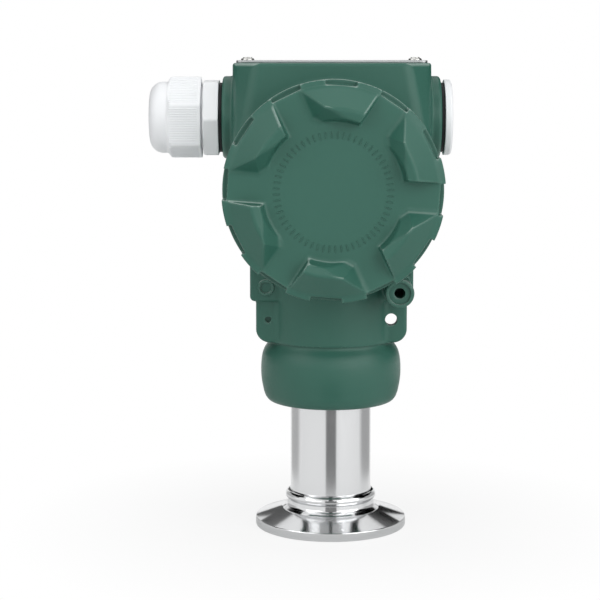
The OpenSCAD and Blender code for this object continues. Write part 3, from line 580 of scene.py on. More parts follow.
# Each finish: its colour or the setting that holds it, the size of its texture's cells, the
# lowest and highest roughness, whether it is metal, the bump's strength, the texture's depth,
# how much its colour wanders, how its texture is stretched, and what adds more to it
FINISHES = {
    # Epoxy powder sprayed and baked on a casting: satin, with a fine orange peel
    "powder_coated_aluminium": (
        "paint", 0.9, 0.36, 0.46, 0, 0.25, 0.06, 0.035, (1, 1, 1), paint_details),
    # Polyamide from a spark-eroded mould: soft white, faintly satin
    "moulded_polyamide": ("nylon", 0.6, 0.4, 0.5, 0, 0.12, 0.03, 0.015),
    # Stainless bar turned on a lathe and polished: sharp, stretched reflections
    "turned_stainless_steel": (
        "steel", 0.5, 0.16, 0.2, 1, 0.03, 0.01, 0.02, (1, 1, 0.05), lathe_details),
    # Moulded nitrile: dull black with a dusty bloom
    "moulded_nitrile_rubber": ("rubber", 0.4, 0.6, 0.8, 0, 0.3, 0.04, 0.2),
    # Stainless sheet brushed along its length: fine straight lines
    "brushed_stainless_sheet": (
        "B2B4B5", 0.25, 0.34, 0.46, 1, 0.2, 0.02, 0.05, (0.02, 1, 1), None),
    # Machine screw, bright nickel over steel
    "nickel_plated_steel": ("C4C4C1", 0.3, 0.2, 0.32, 1, 0.1, 0.01, 0.05),
    # Rolled and pressed foil of the flush diaphragm: nearly a mirror, with faint ripples
    "pressed_stainless_foil": ("D2D3D3", 3.0, 0.08, 0.14, 1, 0.05, 0.02, 0.02),
    # Free-cutting brass from a lathe: warm and bright, faint tool lines
    "machined_brass": ("C9A75E", 0.3, 0.2, 0.34, 1, 0.1, 0.01, 0.08),
    # Glass-filled phenolic moulding: dark, dry and slightly mottled
    "moulded_phenolic": ("26282B", 0.35, 0.45, 0.6, 0, 0.2, 0.03, 0.25),
    # Polycarbonate moulding: pale grey and satin
    "moulded_polycarbonate": ("D9DBD9", 0.8, 0.35, 0.45, 0, 0.08, 0.02, 0.02),
    # Acetal push buttons, moulded glossy, one blue and one red
    "moulded_acetal_blue": ("2F5FA8", 0.8, 0.22, 0.3, 0, 0.06, 0.02, 0.04),
    "moulded_acetal_red": ("A83A2F", 0.8, 0.22, 0.3, 0, 0.06, 0.02, 0.04),
    # Glass-epoxy board under solder mask: the weave shows through the gloss
    "printed_circuit_laminate": ("1F5A38", 0.7, 0.22, 0.34, 0, 0.25, 0.03, 0.12),
    # Transfer-moulded epoxy of the chips: black and slightly grainy
    "moulded_epoxy_package": ("1D1E20", 0.2, 0.5, 0.62, 0, 0.25, 0.02, 0.15),
    # Fused brown insulating bush of a feed-through
    "fired_insulating_bush": ("7B3A24", 0.5, 0.25, 0.4, 0, 0.1, 0.02, 0.12),
    # Extruded vinyl ribbon: grey and satin
    "extruded_vinyl_ribbon": ("B2B5B9", 0.5, 0.4, 0.5, 0, 0.1, 0.02, 0.05),
    # Socket set screw with a black oxide finish
    "black_oxide_steel": ("3A3C3E", 0.3, 0.35, 0.5, 1, 0.15, 0.01, 0.1),
}


def blank(name):
    """A new material, its node tree and the tree's surface shader."""
    material = bpy.data.materials.new(name)
    material.use_nodes = True
    return material, material.node_tree, material.node_tree.nodes["Principled BSDF"]


def finish(name):
    """The procedural finish of that name, made when it is first asked for."""
    if name in bpy.data.materials:
        return bpy.data.materials[name]
    colour, grain, low, high, metallic, bump, depth, vary, *rest = FINISHES[name]
    stretch, details = rest or ((1, 1, 1), None)
    colour = tuple(getattr(shared("finishes"), colour, ())) or linear(colour)
    material, tree, shader = blank(name)
    where = add(tree, "TexCoord").outputs["Object"]
    spread = add(tree, "Mapping", {"Vector": where, "Scale": stretch})
    cells = add(tree, "TexNoise", {
        "Vector": spread, "Scale": 1000 / grain, "Detail": 3.0, "Roughness": 0.55})
    broad = add(tree, "TexNoise", {"Vector": spread, "Scale": 1000 / 28, "Detail": 2.0})
    level = add(tree, "MapRange", {
        "Value": cells, "From Min": 0.3, "From Max": 0.7, "To Min": low, "To Max": high})
    patch = add(tree, "Mix", {
        "Factor": broad, "A": tuple(c * (1 - vary) for c in colour) + (1,),
        "B": tuple(min(1, c * (1 + vary)) for c in colour) + (1,)}, data_type="RGBA")
    relief = add(tree, "Bump", {"Height": cells, "Strength": bump, "Distance": depth * MM})
    wire(shader, {"Metallic": metallic, "Roughness": level, "Base Color": patch,
                  "Normal": relief})
    if details:
        details(tree, shader, where, patch, relief, level)
    return material


# Shapes

def casting_field(s):
    cos, sin = math.cos, math.sin
    lean, face = math.radians(8.6), math.atan2(7.8, 9.0)
    bulb = eased([
        (0, 20.3), (0.4, 20.9), (1.25, 21.65), (2.8, 22.35), (4.7, 22.8), (7, 23.2), (9.8, 23.4),
        (12.5, 23.35), (14.9, 23.08), (16.6, 22.65), (18, 22), (19, 21.3), (19.6, 20.9),
        (20.1, 20.7), (21.7, 20.7)])
    top = s["foot"] + s["bulb_rise"]
    axis = s["axis"]

    def field(x, y, z):
        ax, ay = np.abs(x), np.abs(y)
        off_axis = np.hypot(x, z - axis)
        off_stem = np.hypot(x, y)
        off_entry = np.hypot(y, z - s["entry"])
        # Barrel, and the top block with its leaning corners
        body = solid(0.7, off_axis - s["barrel"], ay - s["barrel_half"])
        block = solid(1.0, ax - s["block_x"], ay - s["block_y"],
                      between(z, axis + 5, s["block_top"]))
        corner = ((ax - s["block_x"] + 7.8) * cos(lean) * cos(face)
                  + (ay - s["block_y"]) * cos(lean) * sin(face)
                  + (z - s["block_top"]) * sin(lean))
        body = join(body, common(block, corner, 2.0), 2.2)
        # Cable entries, neck, lower and upper ears
        ear = solid(4.5, ax - s["ear_x"], between(z, top + 0.2, s["step"] + 4))
        upper = solid(1.6, ax - s["ear_top_x"], between(z, s["step"], axis - 17))
        body = grow(
            body,
            (1.2, 1.2, off_entry - s["entry_radius"], ax - s["entry_end"]),
            (0.4, 3.0, off_stem - s["neck"], between(z, top, axis - 24)),
            (0.9, 1.2, ear, ay - 12.0),
            (0.9, 1.0, upper, ay - 14.0))
        radius = np.interp(z - s["foot"], *bulb)
        body = np.minimum(body, solid(0.5, off_stem - radius, between(z, s["foot"], top + 1)))
        # Lock bosses and blind spots. The rear half is the front turned by half a turn.
        bx = x * np.where(y > 0, -1.0, 1.0)
        boss = np.hypot(bx - 21.5, z - s["lock"])
        blank = np.hypot(bx + 21.5, z - s["lock"])
        body = grow(
            body,
            (0.45, 0.8, boss - 4.6, between(ay, 5, 29.4)),
            (0.25, 0.3, blank - 2.7, between(ay, 5, 14.5)))
        return drill(
            body,
            (0.1, 0.25, blank - 1.8, between(ay, 14, 20)),
            (0.1, 0.3, boss - 3.5, between(ay, 28.6, 40)),
            (0.1, 0.3, boss - 1.7, between(ay, 11.4, 40)),
            # Compartments, thread bores and cable entries
            (0.2, 0.3, off_axis - 27.0, between(y, -40, 10.5)),
            (0.2, 0.3, off_axis - 27.0, between(y, 13.5, 40)),
            (0.1, 0.6, off_axis - 28.5, between(ay, 22.3, 40)),
            (0.1, 0.3, off_entry - 9.25, between(ax, 12, 40)),
            (0.1, 0.8, off_entry - 10.0, between(ax, s["entry_end"] - 14, 40)),
            # Stem's bore, cell's room, ribbon's passage and set screw's hole
            (0.1, 0.2, off_stem - 13.5, between(z, 40, 58.9)),
            (0.5, 0.2, off_stem - 15.0, between(z, 58.7, 74.8)),
            (0.1, 0.3, np.hypot(x, y - 16.9) - 3.2, between(z, 62, 95)),
            (0.1, 0.4, np.hypot(x, z - 51.2) - 1.7, between(y, 13.3, 40)),
            # Sealing wire's hole and its pocket, and the dimple
            (0.1, 0.3, np.hypot(x - 19.6, z - 71.3) - 2.0, between(y, -30, 0)),
            (0.6, 0.5, between(x, 17.2, 23.2), between(y, -8, 30), between(z, 65.7, 73.7)),
            (0.1, 0.3, np.hypot(x + 20.8, z - 71.3) - 1.0, between(y, -30, -10.5)))

    return field


def cover_field(c):
    """One cover about its own axis; going clockwise a slot is wall, floor and ramp."""
    rise, top = c["lobe"], c["height"]
    outer_wide, crown_wide = c["foot"] - c["ridge"], c["ridge"] - c["inner"]
    crown_rise = 0.9

    def ring_part(r, w):
        """The lobes' ring: a long outer slope, a ridge and a steep hollow inner side."""
        outer = ((w - top) * outer_wide + (r - c["foot"]) * rise) / math.hypot(outer_wide, rise)
        crown = ((w - top - rise) * crown_wide - (r - c["ridge"]) * crown_rise) / math.hypot(
            crown_wide, crown_rise)
        inner = (c["inner"] - 0.1 + 1.0 * np.clip((w - top) / rise, 0, 1) - r) * 0.99
        body = common(common(outer, crown, 0.7), inner, 0.7)
        return np.maximum(body, top - 0.5 - w)

    def facet(t, s, h):
        """The slanting facet at a lobe's corner."""
        return (0.991 * t + 0.751 * s - 21.64 - h) / 1.596

    def field(u, v, w):
        r = np.hypot(u, v)
        a = np.arctan2(u, v)
        disc = solid(0.55, r - c["radius"], between(w, 0, top))
        # The slot's own axes: t runs across it, going clockwise, s along it and h out of the face
        sixth = np.mod(a, math.pi / 3) - math.pi / 6
        t, s, h = r * np.sin(sixth), r * np.cos(sixth), w - top
        wall = (-t - 5.1 - 0.05 * np.maximum(h, 0)) * 0.998
        steep = (1.23 * (t - 4.2) - h) / 1.585
        slot = np.maximum(np.maximum(wall, np.minimum(steep, facet(t, s, h))), 6 - s)
        lobes = carve(ring_part(r, w), slot, 0.55)
        # The facet runs on past the lobe's middle, where the next slot's axes begin
        far = sixth + math.pi / 3
        beyond = np.maximum(facet(r * np.sin(far), r * np.cos(far), h), t)
        body = join(disc, carve(lobes, beyond, 0.55), 1.2)
        tenth = np.mod(a + math.pi / 12, math.pi / 6) - math.pi / 12
        body = drill(body, (0.5, 0.4, np.abs(r * np.sin(tenth)) - 4.9,
                            c["radius"] - c["notch"] - r * np.cos(tenth), c["flange"] - w))
        body = np.maximum(body, r - c["radius"])
        # The threaded skirt, its hollow and the groove for the sealing ring
        body = np.minimum(body, solid(0.3, between(r, 24.6, 28.45), between(w, -10, 5)))
        return drill(body, (0.8, 0.2, r - 24.6, between(w, -20, 6)),
                     (0.1, 0.2, between(r, 28.45, 30.85), between(w, -1, 1.7)))

    return field


def hexagon(u, v, flats, turn):
    """Distance past the nearest of six flats."""
    far = None
    for k in range(6):
        a = math.radians(turn + 30 + 60 * k)
        d = u * math.cos(a) + v * math.sin(a) - flats
        far = d if far is None else -join(-far, -d, 0.7)
    return far


def nut_field(g):
    base = g["hex_at"] + g["hex_long"] + 0.65
    dome_at = base + g["nut_long"]
    end = dome_at + g["dome_long"]
    thread_end = base + 6.95

    def field(u, v, w):
        r = np.hypot(u, v)
        six = solid(0.3, hexagon(u, v, g["flats"], NUT_TURN), between(w, base, dome_at))
        six = common(six, (r - 12.1) * 0.58 + (w - dome_at) * 0.81, 0.6)
        return drill(
            grow(six, (4.4, 0.6, r - g["dome"], between(w, base + 1, end))),
            (0.1, 0.5, r - 10.45, between(w, 30, thread_end)),
            (0.1, 0.2, r - 9.4, between(w, 30, dome_at + 2.3)),
            (0.1, 0.9, r - g["mouth"], thread_end - w))

    return field, base, end


def gland_field(g):
    at = g["hex_at"]
    end = at + g["hex_long"]

    def field(u, v, w):
        r = np.hypot(u, v)
        six = solid(0.3, hexagon(u, v, g["flats"], BODY_TURN), between(w, at, end))
        body = common(six, (r - 13.5) * 0.5 + (w - end + 0.4) * 0.86, 0.4)
        body = np.minimum(body, solid(0.4, r - 9.95, between(w, at - 10.7, at + 1)))
        body = np.minimum(body, solid(0.4, r - 10.4, between(w, at + 2, end + 7)))
        return drill(body, (0.1, 0.4, r - 6.8, between(w, 20, 60)),
                     (0.1, 0.3, r - 9.2, between(w, at + 7.1, 60)))

    return field


def plug_field(g):
    at = g["hex_at"]
    end = at + g["plug_thick"]

    def field(u, v, w):
        r = np.hypot(u, v)
        body = common(solid(1.0, r - g["plug"], w - end), at - w, 0.3)
        body = np.minimum(body, solid(0.4, r - 9.95, between(w, at - 10.7, at + 1)))
        return drill(body, (0.3, 0.4, r - 7.5, between(w, 20, at - 2.2)),
                     (0.2, 0.35, np.abs(u) - 8, np.abs(v) - 1.1, end - 1.1 - w))

    return field


def screw_field(u, v, w):
    """A pan head with a cross recess, standing on its seat."""
    r = np.hypot(u, v)
    head = common(r - 2.2, np.sqrt(r * r + (w + 2.9) ** 2) - 4.0, 0.3)
    body = np.minimum(solid(0.1, head, -w), solid(0.1, r - 1.45, between(w, -4, 1)))
    arm, across, up = 0.22 + 0.12 * w, np.abs(u), np.abs(v)
    cross = np.minimum(np.maximum(across - 1.3, up - arm), np.maximum(up - 1.3, across - arm))
    return carve(body, np.maximum(cross, 0.35 - w), 0.12)


def sheet_field(u, v, w):
    """The nameplate with its two screw holes."""
    plate = solid(2.0, np.abs(u) - PLATE[0], np.abs(v) - PLATE[1])
    plate = solid(0.15, plate, between(w, 0, PLATE[2]))
    return carve(plate, np.hypot(np.abs(u) - PLATE_HOLE, v) - 1.6, 0.12)


# Repeated pieces

def rows_tree():
    """Copies in rows on the faces of a prism, such as ribs round a nut or screws in a pair."""
    tree = bpy.data.node_groups.get("rows_of_copies")
    if tree:
        return tree
    tree = bpy.data.node_groups.new("rows_of_copies", "GeometryNodeTree")
    put = tree.interface.new_socket
    for name, kind, value in (
            ("Copy", "Object", None), ("Faces", "Int", 6), ("Each", "Int", 1),
            ("Pitch", "Float", 0.0), ("Distance", "Float", 0.01), ("Start", "Float", 0.0),
            ("Uneven", "Float", 0.0), ("Seed", "Int", 3), ("Finish", "Material", None)):
        socket = put(name=name, in_out="INPUT", socket_type="NodeSocket" + kind)
        if value is not None:
            socket.default_value = value
    put(name="Geometry", in_out="OUTPUT", socket_type="NodeSocketGeometry")
    known = dict(add(tree, "NodeGroupInput").outputs.items())
    known["Index"] = add(tree, "GeometryNodeInputIndex")
    for name, operation, first, second in (
            ("total", "MULTIPLY", "Faces", "Each"),
            ("share", "DIVIDE", "Index", "Each"),
            ("face", "FLOOR", "share", 0.0),
            ("in_row", "MODULO", "Index", "Each"),
            ("last", "SUBTRACT", "Each", 1.0),
            ("half", "MULTIPLY", "last", 0.5),
            ("step", "SUBTRACT", "in_row", "half"),
            ("along", "MULTIPLY", "step", "Pitch"),
            ("portion", "DIVIDE", "face", "Faces"),
            ("whole", "MULTIPLY", "portion", math.tau),
            ("angle", "ADD", "whole", "Start"),
            ("off", "MULTIPLY", "Uneven", -1.0)):
        known[name] = add(tree, "Math", {
            0: known.get(first, first), 1: known.get(second, second)}, operation=operation)
    spot = add(tree, "CombineXYZ", {"X": known["Distance"], "Y": known["along"]})
    spun = add(tree, "VectorRotate", {
        "Vector": spot, "Axis": (0, 0, 1), "Angle": known["angle"]}, rotation_type="AXIS_ANGLE")
    dots = add(tree, "GeometryNodePoints", {"Count": known["total"], "Position": spun})
    loose = add(tree, "FunctionNodeRandomValue", {
        2: known["off"], 3: known["Uneven"], "Seed": known["Seed"]}, data_type="FLOAT")
    spin = add(tree, "Math", {0: known["angle"], 1: loose}, operation="ADD")
    copies = add(tree, "GeometryNodeInstanceOnPoints", {
        "Points": dots, "Rotation": add(tree, "CombineXYZ", {"Z": spin}),
        "Instance": add(tree, "GeometryNodeObjectInfo", {
            "Object": known["Copy"]}).outputs["Geometry"]})
    real = add(tree, "GeometryNodeRealizeInstances", {"Geometry": copies})
    dressed = add(tree, "GeometryNodeSetMaterial", {"Geometry": real, "Material": known["Finish"]})
    add(tree, "NodeGroupOutput", {"Geometry": dressed})
    return tree


def rows(name, copy_mesh, spot, material, **inputs):
    """Runs the tree on one shape and returns the result as a plain mesh, put in place."""
    tree = rows_tree()
    copy = linked(name + "_copy", copy_mesh)
    holder = linked(name + "_holder", bpy.data.meshes.new(name + "_holder"))
    modifier = holder.modifiers.new("rows", "NODES")
    modifier.node_group = tree
    values = {"Copy": copy, "Finish": finish(material), **inputs}
    for item in tree.interface.items_tree:
        if item.item_type == "SOCKET" and item.in_out == "INPUT" and item.name in values:
            modifier[item.identifier] = values[item.name]
    mesh = evaluated(holder)
    bpy.data.objects.remove(holder)
    bpy.data.objects.remove(copy)
    points = np.empty(len(mesh.vertices) * 3)
    mesh.vertices.foreach_get("co", points)
    points = points.reshape(-1, 3) @ np.array(spot[0]).T + np.array(spot[1]) * MM
    mesh.vertices.foreach_set("co", points.ravel())
    mesh.update()
    mesh.name = name
    if not len(mesh.vertices):
        raise RuntimeError(name + " came out empty")
    return mesh


# Operators

class TRANSMITTER_OT_housing(bpy.types.Operator):
    """Cast housing: barrel, top block, cable entries, neck, ears and bulb in one casting"""
    bl_idname = "transmitter.housing"
    bl_label = "Cast housing"

    def execute(self, context):
        s = sizes("casting")
        mesh = cast("cast_housing", casting_field(s),
                    (-s["entry_end"], -s["barrel_half"], s["foot"]),
                    (s["entry_end"], s["barrel_half"], s["block_top"]), pitch=0.62,
                    most=190000)
        piece(mesh, "housing", "powder_coated_aluminium", "green_paint", "housing")
        return {"FINISHED"}


class TRANSMITTER_OT_covers(bpy.types.Operator):
    """Front and rear covers with lobes for a spanner bar and notches in the rim"""
    bl_idname = "transmitter.covers"
    bl_label = "Covers"

    def execute(self, context):
        c = sizes("cover")
        field = cover_field(c)
        points, faces = skin(field, (-c["radius"], -c["radius"], -10),
                             (c["radius"], c["radius"], 16.5), fine(0.5))
        paint = ("powder_coated_aluminium", "green_paint")
        for name, turn in COVER_TURNS.items():
            spot = turned_by(placed(name.split("_")[0]), turn)
            mesh = mesh_of(name + "_casting", points, faces, field, moved_out(spot, c["seat"]))
            piece(mesh, name, *paint, name)
            tick = frustum("tick", -0.3, 0.3, (1.1, 0.22), (0.95, 0.11))
            ring = rows(name + "_ticks", tick, moved_out(spot, c["seat"] + c["height"]),
                        paint[0], Faces=60, Distance=TICKS_AT * MM)
            piece(ring, name, *paint)
        return {"FINISHED"}


class TRANSMITTER_OT_gland(bpy.types.Operator):
    """Nylon cable gland: body, nut with its dome and grip ribs, and flat washer"""
    bl_idname = "transmitter.gland"
    bl_label = "Cable gland"

    def execute(self, context):
        g = sizes("gland")
        field, base, end = nut_field(g)
        left = placed("left")
        nylon = ("moulded_polyamide", "white_nylon")
        mesh = cast("gland_nut_moulding", field, (-14, -14, base), (14, 14, end), pitch=0.34,
                    place=left)
        piece(mesh, "gland_nut", *nylon, "gland_nut")
        half = g["nut_long"] / 2 - 0.7
        rib = frustum("rib", -0.2, 0.14, (0.2, half), (0.07, half - 0.25), upright=False)
        ribs = rows("gland_nut_ribs", rib, moved_out(left, base + g["nut_long"] / 2 + 0.1),
                    nylon[0], Faces=6, Each=shared("gland").ribs, Pitch=shared("gland").rib_pitch,
                    Distance=shared("gland").flats, Start=math.radians(NUT_TURN + 30))
        piece(ribs, "gland_nut", *nylon)
        mesh = cast("gland_body_moulding", gland_field(g), (-14, -14, 26), (14, 14, 49), pitch=0.4,
                    place=left)
        piece(mesh, "housing", *nylon, "gland_body")
        low, high = g["hex_at"] - 1.2, g["hex_at"]
        for name, side, body in (("gland_washer", "left", "housing"),
                                 ("plug_washer", "right", "plug_ring")):
            mesh = turned(name + "_ring", [(10.1, low), (11.45, low), (11.45, high), (10.1, high)],
                          [0.1, 0.35, 0.35, 0.1], placed(side), closed=True, around=128)
            piece(mesh, body, "moulded_nitrile_rubber", "black_rubber", name)
        return {"FINISHED"}


class TRANSMITTER_OT_plug(bpy.types.Operator):
    """Blind plug of the unused cable entry"""
    bl_idname = "transmitter.plug"
    bl_label = "Blind plug"

    def execute(self, context):
        g = sizes("gland")
        mesh = cast("blind_plug_moulding", plug_field(g), (-13, -13, 26),
                    (13, 13, g["hex_at"] + g["plug_thick"]), pitch=0.36, place=placed("right"))
        piece(mesh, "blind_plug", "moulded_polyamide", "white_nylon", "blind_plug")
        return {"FINISHED"}


class TRANSMITTER_OT_stem(bpy.types.Operator):
    """Steel stem with its collar and clamp ferrule, and the flush diaphragm under it"""
    bl_idname = "transmitter.stem"
    bl_label = "Steel stem"

    def execute(self, context):
        t = sizes("stem")
        tube, rim_r, rim, top = t["tube"], t["ferrule"], t["rim"], t["top"]
        rise = math.tan(math.radians(20))
        foot = sizes("casting")["foot"]
        bead = [(tube + 1.7 * math.cos(a), 10.4 + 1.7 * math.sin(a), 0.6)
                for a in (math.radians(d) for d in range(-50, 80, 12))]
        # Radius, height and rounding of each corner, from the middle of the sealing face round
        outline = [
            (1, 0.95, 0), (15.5, 0.95, 0), (15.5, 0.6, 0), (17.05, 0.6, 0), (17.05, 0, 0.1),
            (20.15, 0, 0.15), (20.95, 1.5, 0.6), (22.55, 1.5, 0.6), (23.35, 0, 0.15),
            (rim_r, 0, 0.35), (rim_r, rim, 0.4), (16.4, rim + (rim_r - 16.8) * rise, 2.4),
            (14.6, 7.1, 1.4), (14.4, 8.9, 0.5), *bead, (tube, 12.15, 0.25), (tube, foot, 0),
            (tube - 0.05, foot, 0), (tube - 0.05, top - 1, 0.1), (tube - 1, top, 0.1),
            (9.55, top, 0.2), (9.55, 24, 0.2), (1, 24, 0.1)]
        mesh = turned("turned_stem", [p[:2] for p in outline], [p[2] for p in outline],
                      closed=True, around=256)
        piece(mesh, "housing", "turned_stainless_steel", "stainless_steel", "stem")
        waves = [(15.5 * k / 48, 0.3 + 0.17 * math.sin(math.tau * 4 * k / 48)) for k in range(49)]
        over = [(r, z + 0.3) for r, z in reversed(waves)]
        loop = waves + [(17, 0.3), (17, 0.6)] + over
        mesh = turned("diaphragm_foil", loop, [0.02] * len(loop))
        piece(mesh, "housing", "pressed_stainless_foil", "stainless_steel", "diaphragm")
        return {"FINISHED"}


class TRANSMITTER_OT_nameplate(bpy.types.Operator):
    """Blank brushed nameplate on top, and its two screws"""
    bl_idname = "transmitter.nameplate"
    bl_label = "Nameplate"

    def execute(self, context):
        wide, deep, thick = PLATE
        spot = (np.eye(3), np.array([0, 0, sizes("casting")["block_top"]]))
        mesh = cast("blank_nameplate", sheet_field, (-wide, -deep, 0), PLATE, pitch=0.3,
                    place=spot)
        piece(mesh, "housing", "brushed_stainless_sheet", "plate_steel", "nameplate")
        screw = cast("pan_screw", screw_field, (-2.2, -2.2, -4), (2.2, 2.2, 1.1), pitch=0.11)
        pair = rows("nameplate_pan_screws", screw, moved_out(spot, thick), "nickel_plated_steel",
                    Faces=2, Seed=5, Distance=PLATE_HOLE * MM, Uneven=0.6)
        piece(pair, "housing", "nickel_plated_steel", "screw_steel", "nameplate_screws")
        return {"FINISHED"}


class TRANSMITTER_OT_inside(bpy.types.Operator):
    """Finishes of the pieces that keep their construction shape, most of them inside"""
    bl_idname = "transmitter.inside"
    bl_label = "Inner pieces"

    def execute(self, context):
        used = {
            "moulded_nitrile_rubber": ("front_cover_oring", "rear_cover_oring", "cell_oring",
                                       "stem_oring", "gland_seal"),
            "moulded_polyamide": ("gland_claw",),
            "moulded_phenolic": ("terminal_block",),
            "nickel_plated_steel": ("terminal_screws", "terminal_clamps", "terminal_block_screws",
                                    "ground_screw", "ground_clamp", "shroud_screws"),
            "fired_insulating_bush": ("feedthrough_bushes",),
            "machined_brass": ("feedthrough_pins", "board_standoffs", "cell_retainer",
                               "header_pins"),
            "printed_circuit_laminate": ("amplifier_board", "compensation_board"),
            "moulded_epoxy_package": ("board_components", "button_switches"),
            "moulded_polycarbonate": ("electronics_shroud", "sensor_connector"),
            "moulded_acetal_blue": ("zero_button",),
            "moulded_acetal_red": ("span_button",),
            "extruded_vinyl_ribbon": ("sensor_ribbon",),
            "pressed_stainless_foil": ("sensor_cell",),
            "black_oxide_steel": ("stem_lock_screw",),
        }
        for material, names in used.items():
            for name in names:
                slots = nodes[name].material_slots
                if not len(slots):
                    nodes[name].data.materials.append(finish(material))
                for slot in slots:
                    slot.material = finish(material)
        return {"FINISHED"}


# The stage's parts

def seen_directly(tree):
    """One for rays from the camera and for mirrored and passing rays, else zero."""
    path = add(tree, "LightPath").outputs
    seen = add(tree, "Math", {0: path["Is Camera Ray"], 1: path["Is Glossy Ray"]},
               operation="MAXIMUM")
    return add(tree, "Math", {0: seen, 1: path["Is Transmission Ray"]}, operation="MAXIMUM")


def card(name, spots, material):
    mesh = bpy.data.meshes.new(name)
    mesh.from_pydata(spots, [], [(0, 1, 2, 3)])
    mesh.materials.append(material)
    obj = linked(name, mesh)
    return obj


def paper():
    """Matt white paper for the floor."""
    material, tree, shader = blank("matt_white_paper")
    wire(shader, {"Base Color": (0.76, 0.76, 0.76, 1), "Roughness": 0.9,
                  "Specular IOR Level": 0.0})
    where = add(tree, "TexCoord").outputs["Object"]
    away = add(tree, "VectorMath", {0: where}, operation="LENGTH")
    # It is plain white away from the object's shadow, and bright metal sees it so
    path = add(tree, "LightPath").outputs
    plain = add(tree, "MapRange", {
        "Value": away, "From Min": 0.035, "From Max": 0.11, "To Min": 0.84})
    mirrored = add(tree, "MapRange", {
        "Value": away, "From Min": 0.03, "From Max": 0.06, "To Min": 0.1, "To Max": 0.86})
    direct = add(tree, "Math", {0: path["Is Camera Ray"], 1: path["Is Transmission Ray"]},
                 operation="MAXIMUM")
    first = add(tree, "Math", {0: direct, 1: plain}, operation="MULTIPLY")
    share = add(tree, "Math", {0: path["Is Glossy Ray"], 1: mirrored, 2: first},
                operation="MULTIPLY_ADD")
    glow = add(tree, "Emission", {"Color": (1, 1, 1, 1), "Strength": 1.0})
    both = add(tree, "MixShader", {0: share, 1: shader, 2: glow})
    wire(tree.nodes["Material Output"], {"Surface": both})
    return material


def flag(name, grey, soft, low, high, left, right, lean=0):
    """A glowing grey sheet, upright between two heights, that only mirrored rays see: it paints
    dark bands into the bright metal's reflections. Its upright edges fade out, a painted blur
    like the edges of a reflection in drawn metal."""
    material, tree, shader = blank(name)
    tree.nodes.remove(shader)
    spread = add(tree, "SeparateXYZ", {"Vector": add(tree, "TexCoord").outputs["Generated"]})
    centred = add(tree, "Math", {0: spread, 1: 0.5}, operation="SUBTRACT")
    beside = add(tree, "Math", {0: centred}, operation="ABSOLUTE")
    shade = add(tree, "MapRange", {
        "Value": beside, "From Min": 0.5 - soft, "From Max": 0.5, "To Min": grey},
        interpolation_type="SMOOTHSTEP")
    glow = add(tree, "Emission", {"Strength": shade})
    wire(tree.nodes["Material Output"], {"Surface": glow})
    spots = [(*left, low), (*right, low), (right[0] + lean, right[1], high),
             (left[0] - lean, left[1], high)]
    reflected_sheet = card(name, [[c * MM for c in spot] for spot in spots], material)
    reflected_sheet.visible_camera = reflected_sheet.visible_diffuse = reflected_sheet.visible_shadow = False


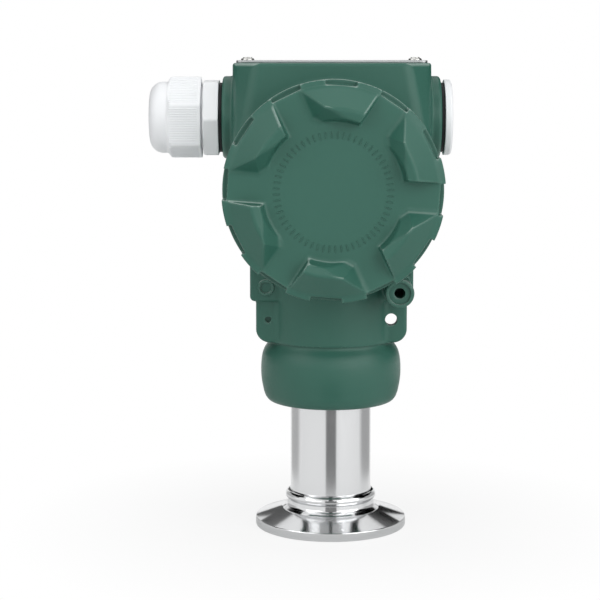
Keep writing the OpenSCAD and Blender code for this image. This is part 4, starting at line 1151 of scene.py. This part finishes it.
class TRANSMITTER_OT_stage(bpy.types.Operator):
    """Pale floor, soft lamps, white surroundings and the camera"""
    bl_idname = "transmitter.stage"
    bl_label = "Stage"

    def execute(self, context):
        scene = context.scene
        s = shared("stage")
        scene.view_settings.view_transform = "Standard"

        camera = linked("camera", bpy.data.cameras.new("camera"))
        camera.data.sensor_width = 36
        camera.data.lens = s.lens
        camera.data.shift_y = -44.0 / 600  # 44 pixels of a picture 600 wide
        camera.location = (s.side, -s.far, s.high)
        camera.rotation_euler = (math.pi / 2 - s.tilt, 0, 0)
        scene.camera = camera

        scene.world = bpy.data.worlds.new("soft_white_room")
        scene.world.use_nodes = True
        tree = scene.world.node_tree
        wire(tree.nodes["Background"], {"Color": (1, 1, 1, 1), "Strength": add(
            tree, "MapRange", {"Value": seen_directly(tree), "To Min": s.room})})

        card("floor", [(-6, -6, 0), (6, -6, 0), (6, 6, 0), (-6, 6, 0)], paper())
        # Painted reflections: glowing grey sheets that only mirrored rays see give the steel its
        # dark bands
        # Each flag's name, grey, softness of its edges, lower and upper height, and two feet
        flag("flag_front", 0.22, 0.14, 1, 46, (-15, -62), (15, -62), lean=2)
        flag("flag_left", 0.54, 0.3, 1, 39, (-86, -4), (-42, 76))
        flag("flag_right", 0.46, 0.3, 1, 39, (92, -18), (42, 76))
        flag("flag_left_high", 0.0, 0.05, 60, 360, (-300, 10), (-150, 250))
        flag("flag_right_high", 0.0, 0.05, 60, 420, (300, -40), (130, 260))
        flag("flag_back_left", 0.1, 0.12, 150, 640, (-330, 800), (-75, 800))
        flag("flag_back_right", 0.0, 0.12, 130, 660, (340, 800), (65, 800))
        flag("flag_high", 0.1, 0.1, 300, 1200, (-60, -450), (60, -450))
        flag("flag_wide", 0.6, 0.1, 450, 1400, (-600, -500), (600, -500))

        middle = Vector((0, 0, 0.09))
        # Each lamp's name, place, width, height and power
        for name, at, wide, tall, power in (
                ("key", (-0.66, -0.6, 0.6), 0.8, 0.8, s.key),
                ("fill", (0.7, -0.6, 0.48), 1.0, 0.9, s.fill),
                ("top", (-0.05, -0.12, 0.95), 1.3, 0.05, s.top),
                ("front", (0.3, -1.0, 0.6), 1.0, 0.8, s.front)):
            lamp = bpy.data.lights.new(name, "AREA")
            lamp.shape = "RECTANGLE"
            lamp.size, lamp.size_y = wide, tall
            lamp.energy = power
            obj = linked(name, lamp)
            obj.location = at
            obj.rotation_euler = (middle - Vector(at)).to_track_quat("-Z", "Y").to_euler()
        return {"FINISHED"}


class TRANSMITTER_PT_panel(bpy.types.Panel):
    """Lists the steps of the build"""
    bl_idname = "TRANSMITTER_PT_panel"
    bl_label = "Pressure transmitter"
    bl_space_type = "VIEW_3D"
    bl_region_type = "UI"
    bl_category = "Transmitter"

    def draw(self, context):
        for operator in OPERATORS:
            self.layout.operator(operator.bl_idname)
        for group in context.scene.transmitter.__annotations__:
            box = self.layout.box()
            values = getattr(context.scene.transmitter, group)
            for key in values.__annotations__:
                box.prop(values, key)


OPERATORS = (
    TRANSMITTER_OT_stage, TRANSMITTER_OT_housing, TRANSMITTER_OT_covers, TRANSMITTER_OT_gland,
    TRANSMITTER_OT_plug, TRANSMITTER_OT_stem, TRANSMITTER_OT_nameplate, TRANSMITTER_OT_inside)
CLASSES = (CastingSizes, CoverSizes, GlandSizes, StemSizes, Finishes, StageSettings,
           Transmitter) + OPERATORS + (TRANSMITTER_PT_panel,)


def register():
    for one in CLASSES:
        bpy.utils.register_class(one)
    bpy.types.Scene.transmitter = bpy.props.PointerProperty(
        type=Transmitter, name="Transmitter", description="Pressure transmitter")


def unregister():
    del bpy.types.Scene.transmitter
    for one in reversed(CLASSES):
        bpy.utils.unregister_class(one)


def main():
    register()
    bpy.ops.transmitter.stage()
    bpy.ops.transmitter.housing()
    bpy.ops.transmitter.covers()
    bpy.ops.transmitter.gland()
    bpy.ops.transmitter.plug()
    bpy.ops.transmitter.stem()
    bpy.ops.transmitter.nameplate()
    bpy.ops.transmitter.inside()


if __name__ == "__main__":
    main()
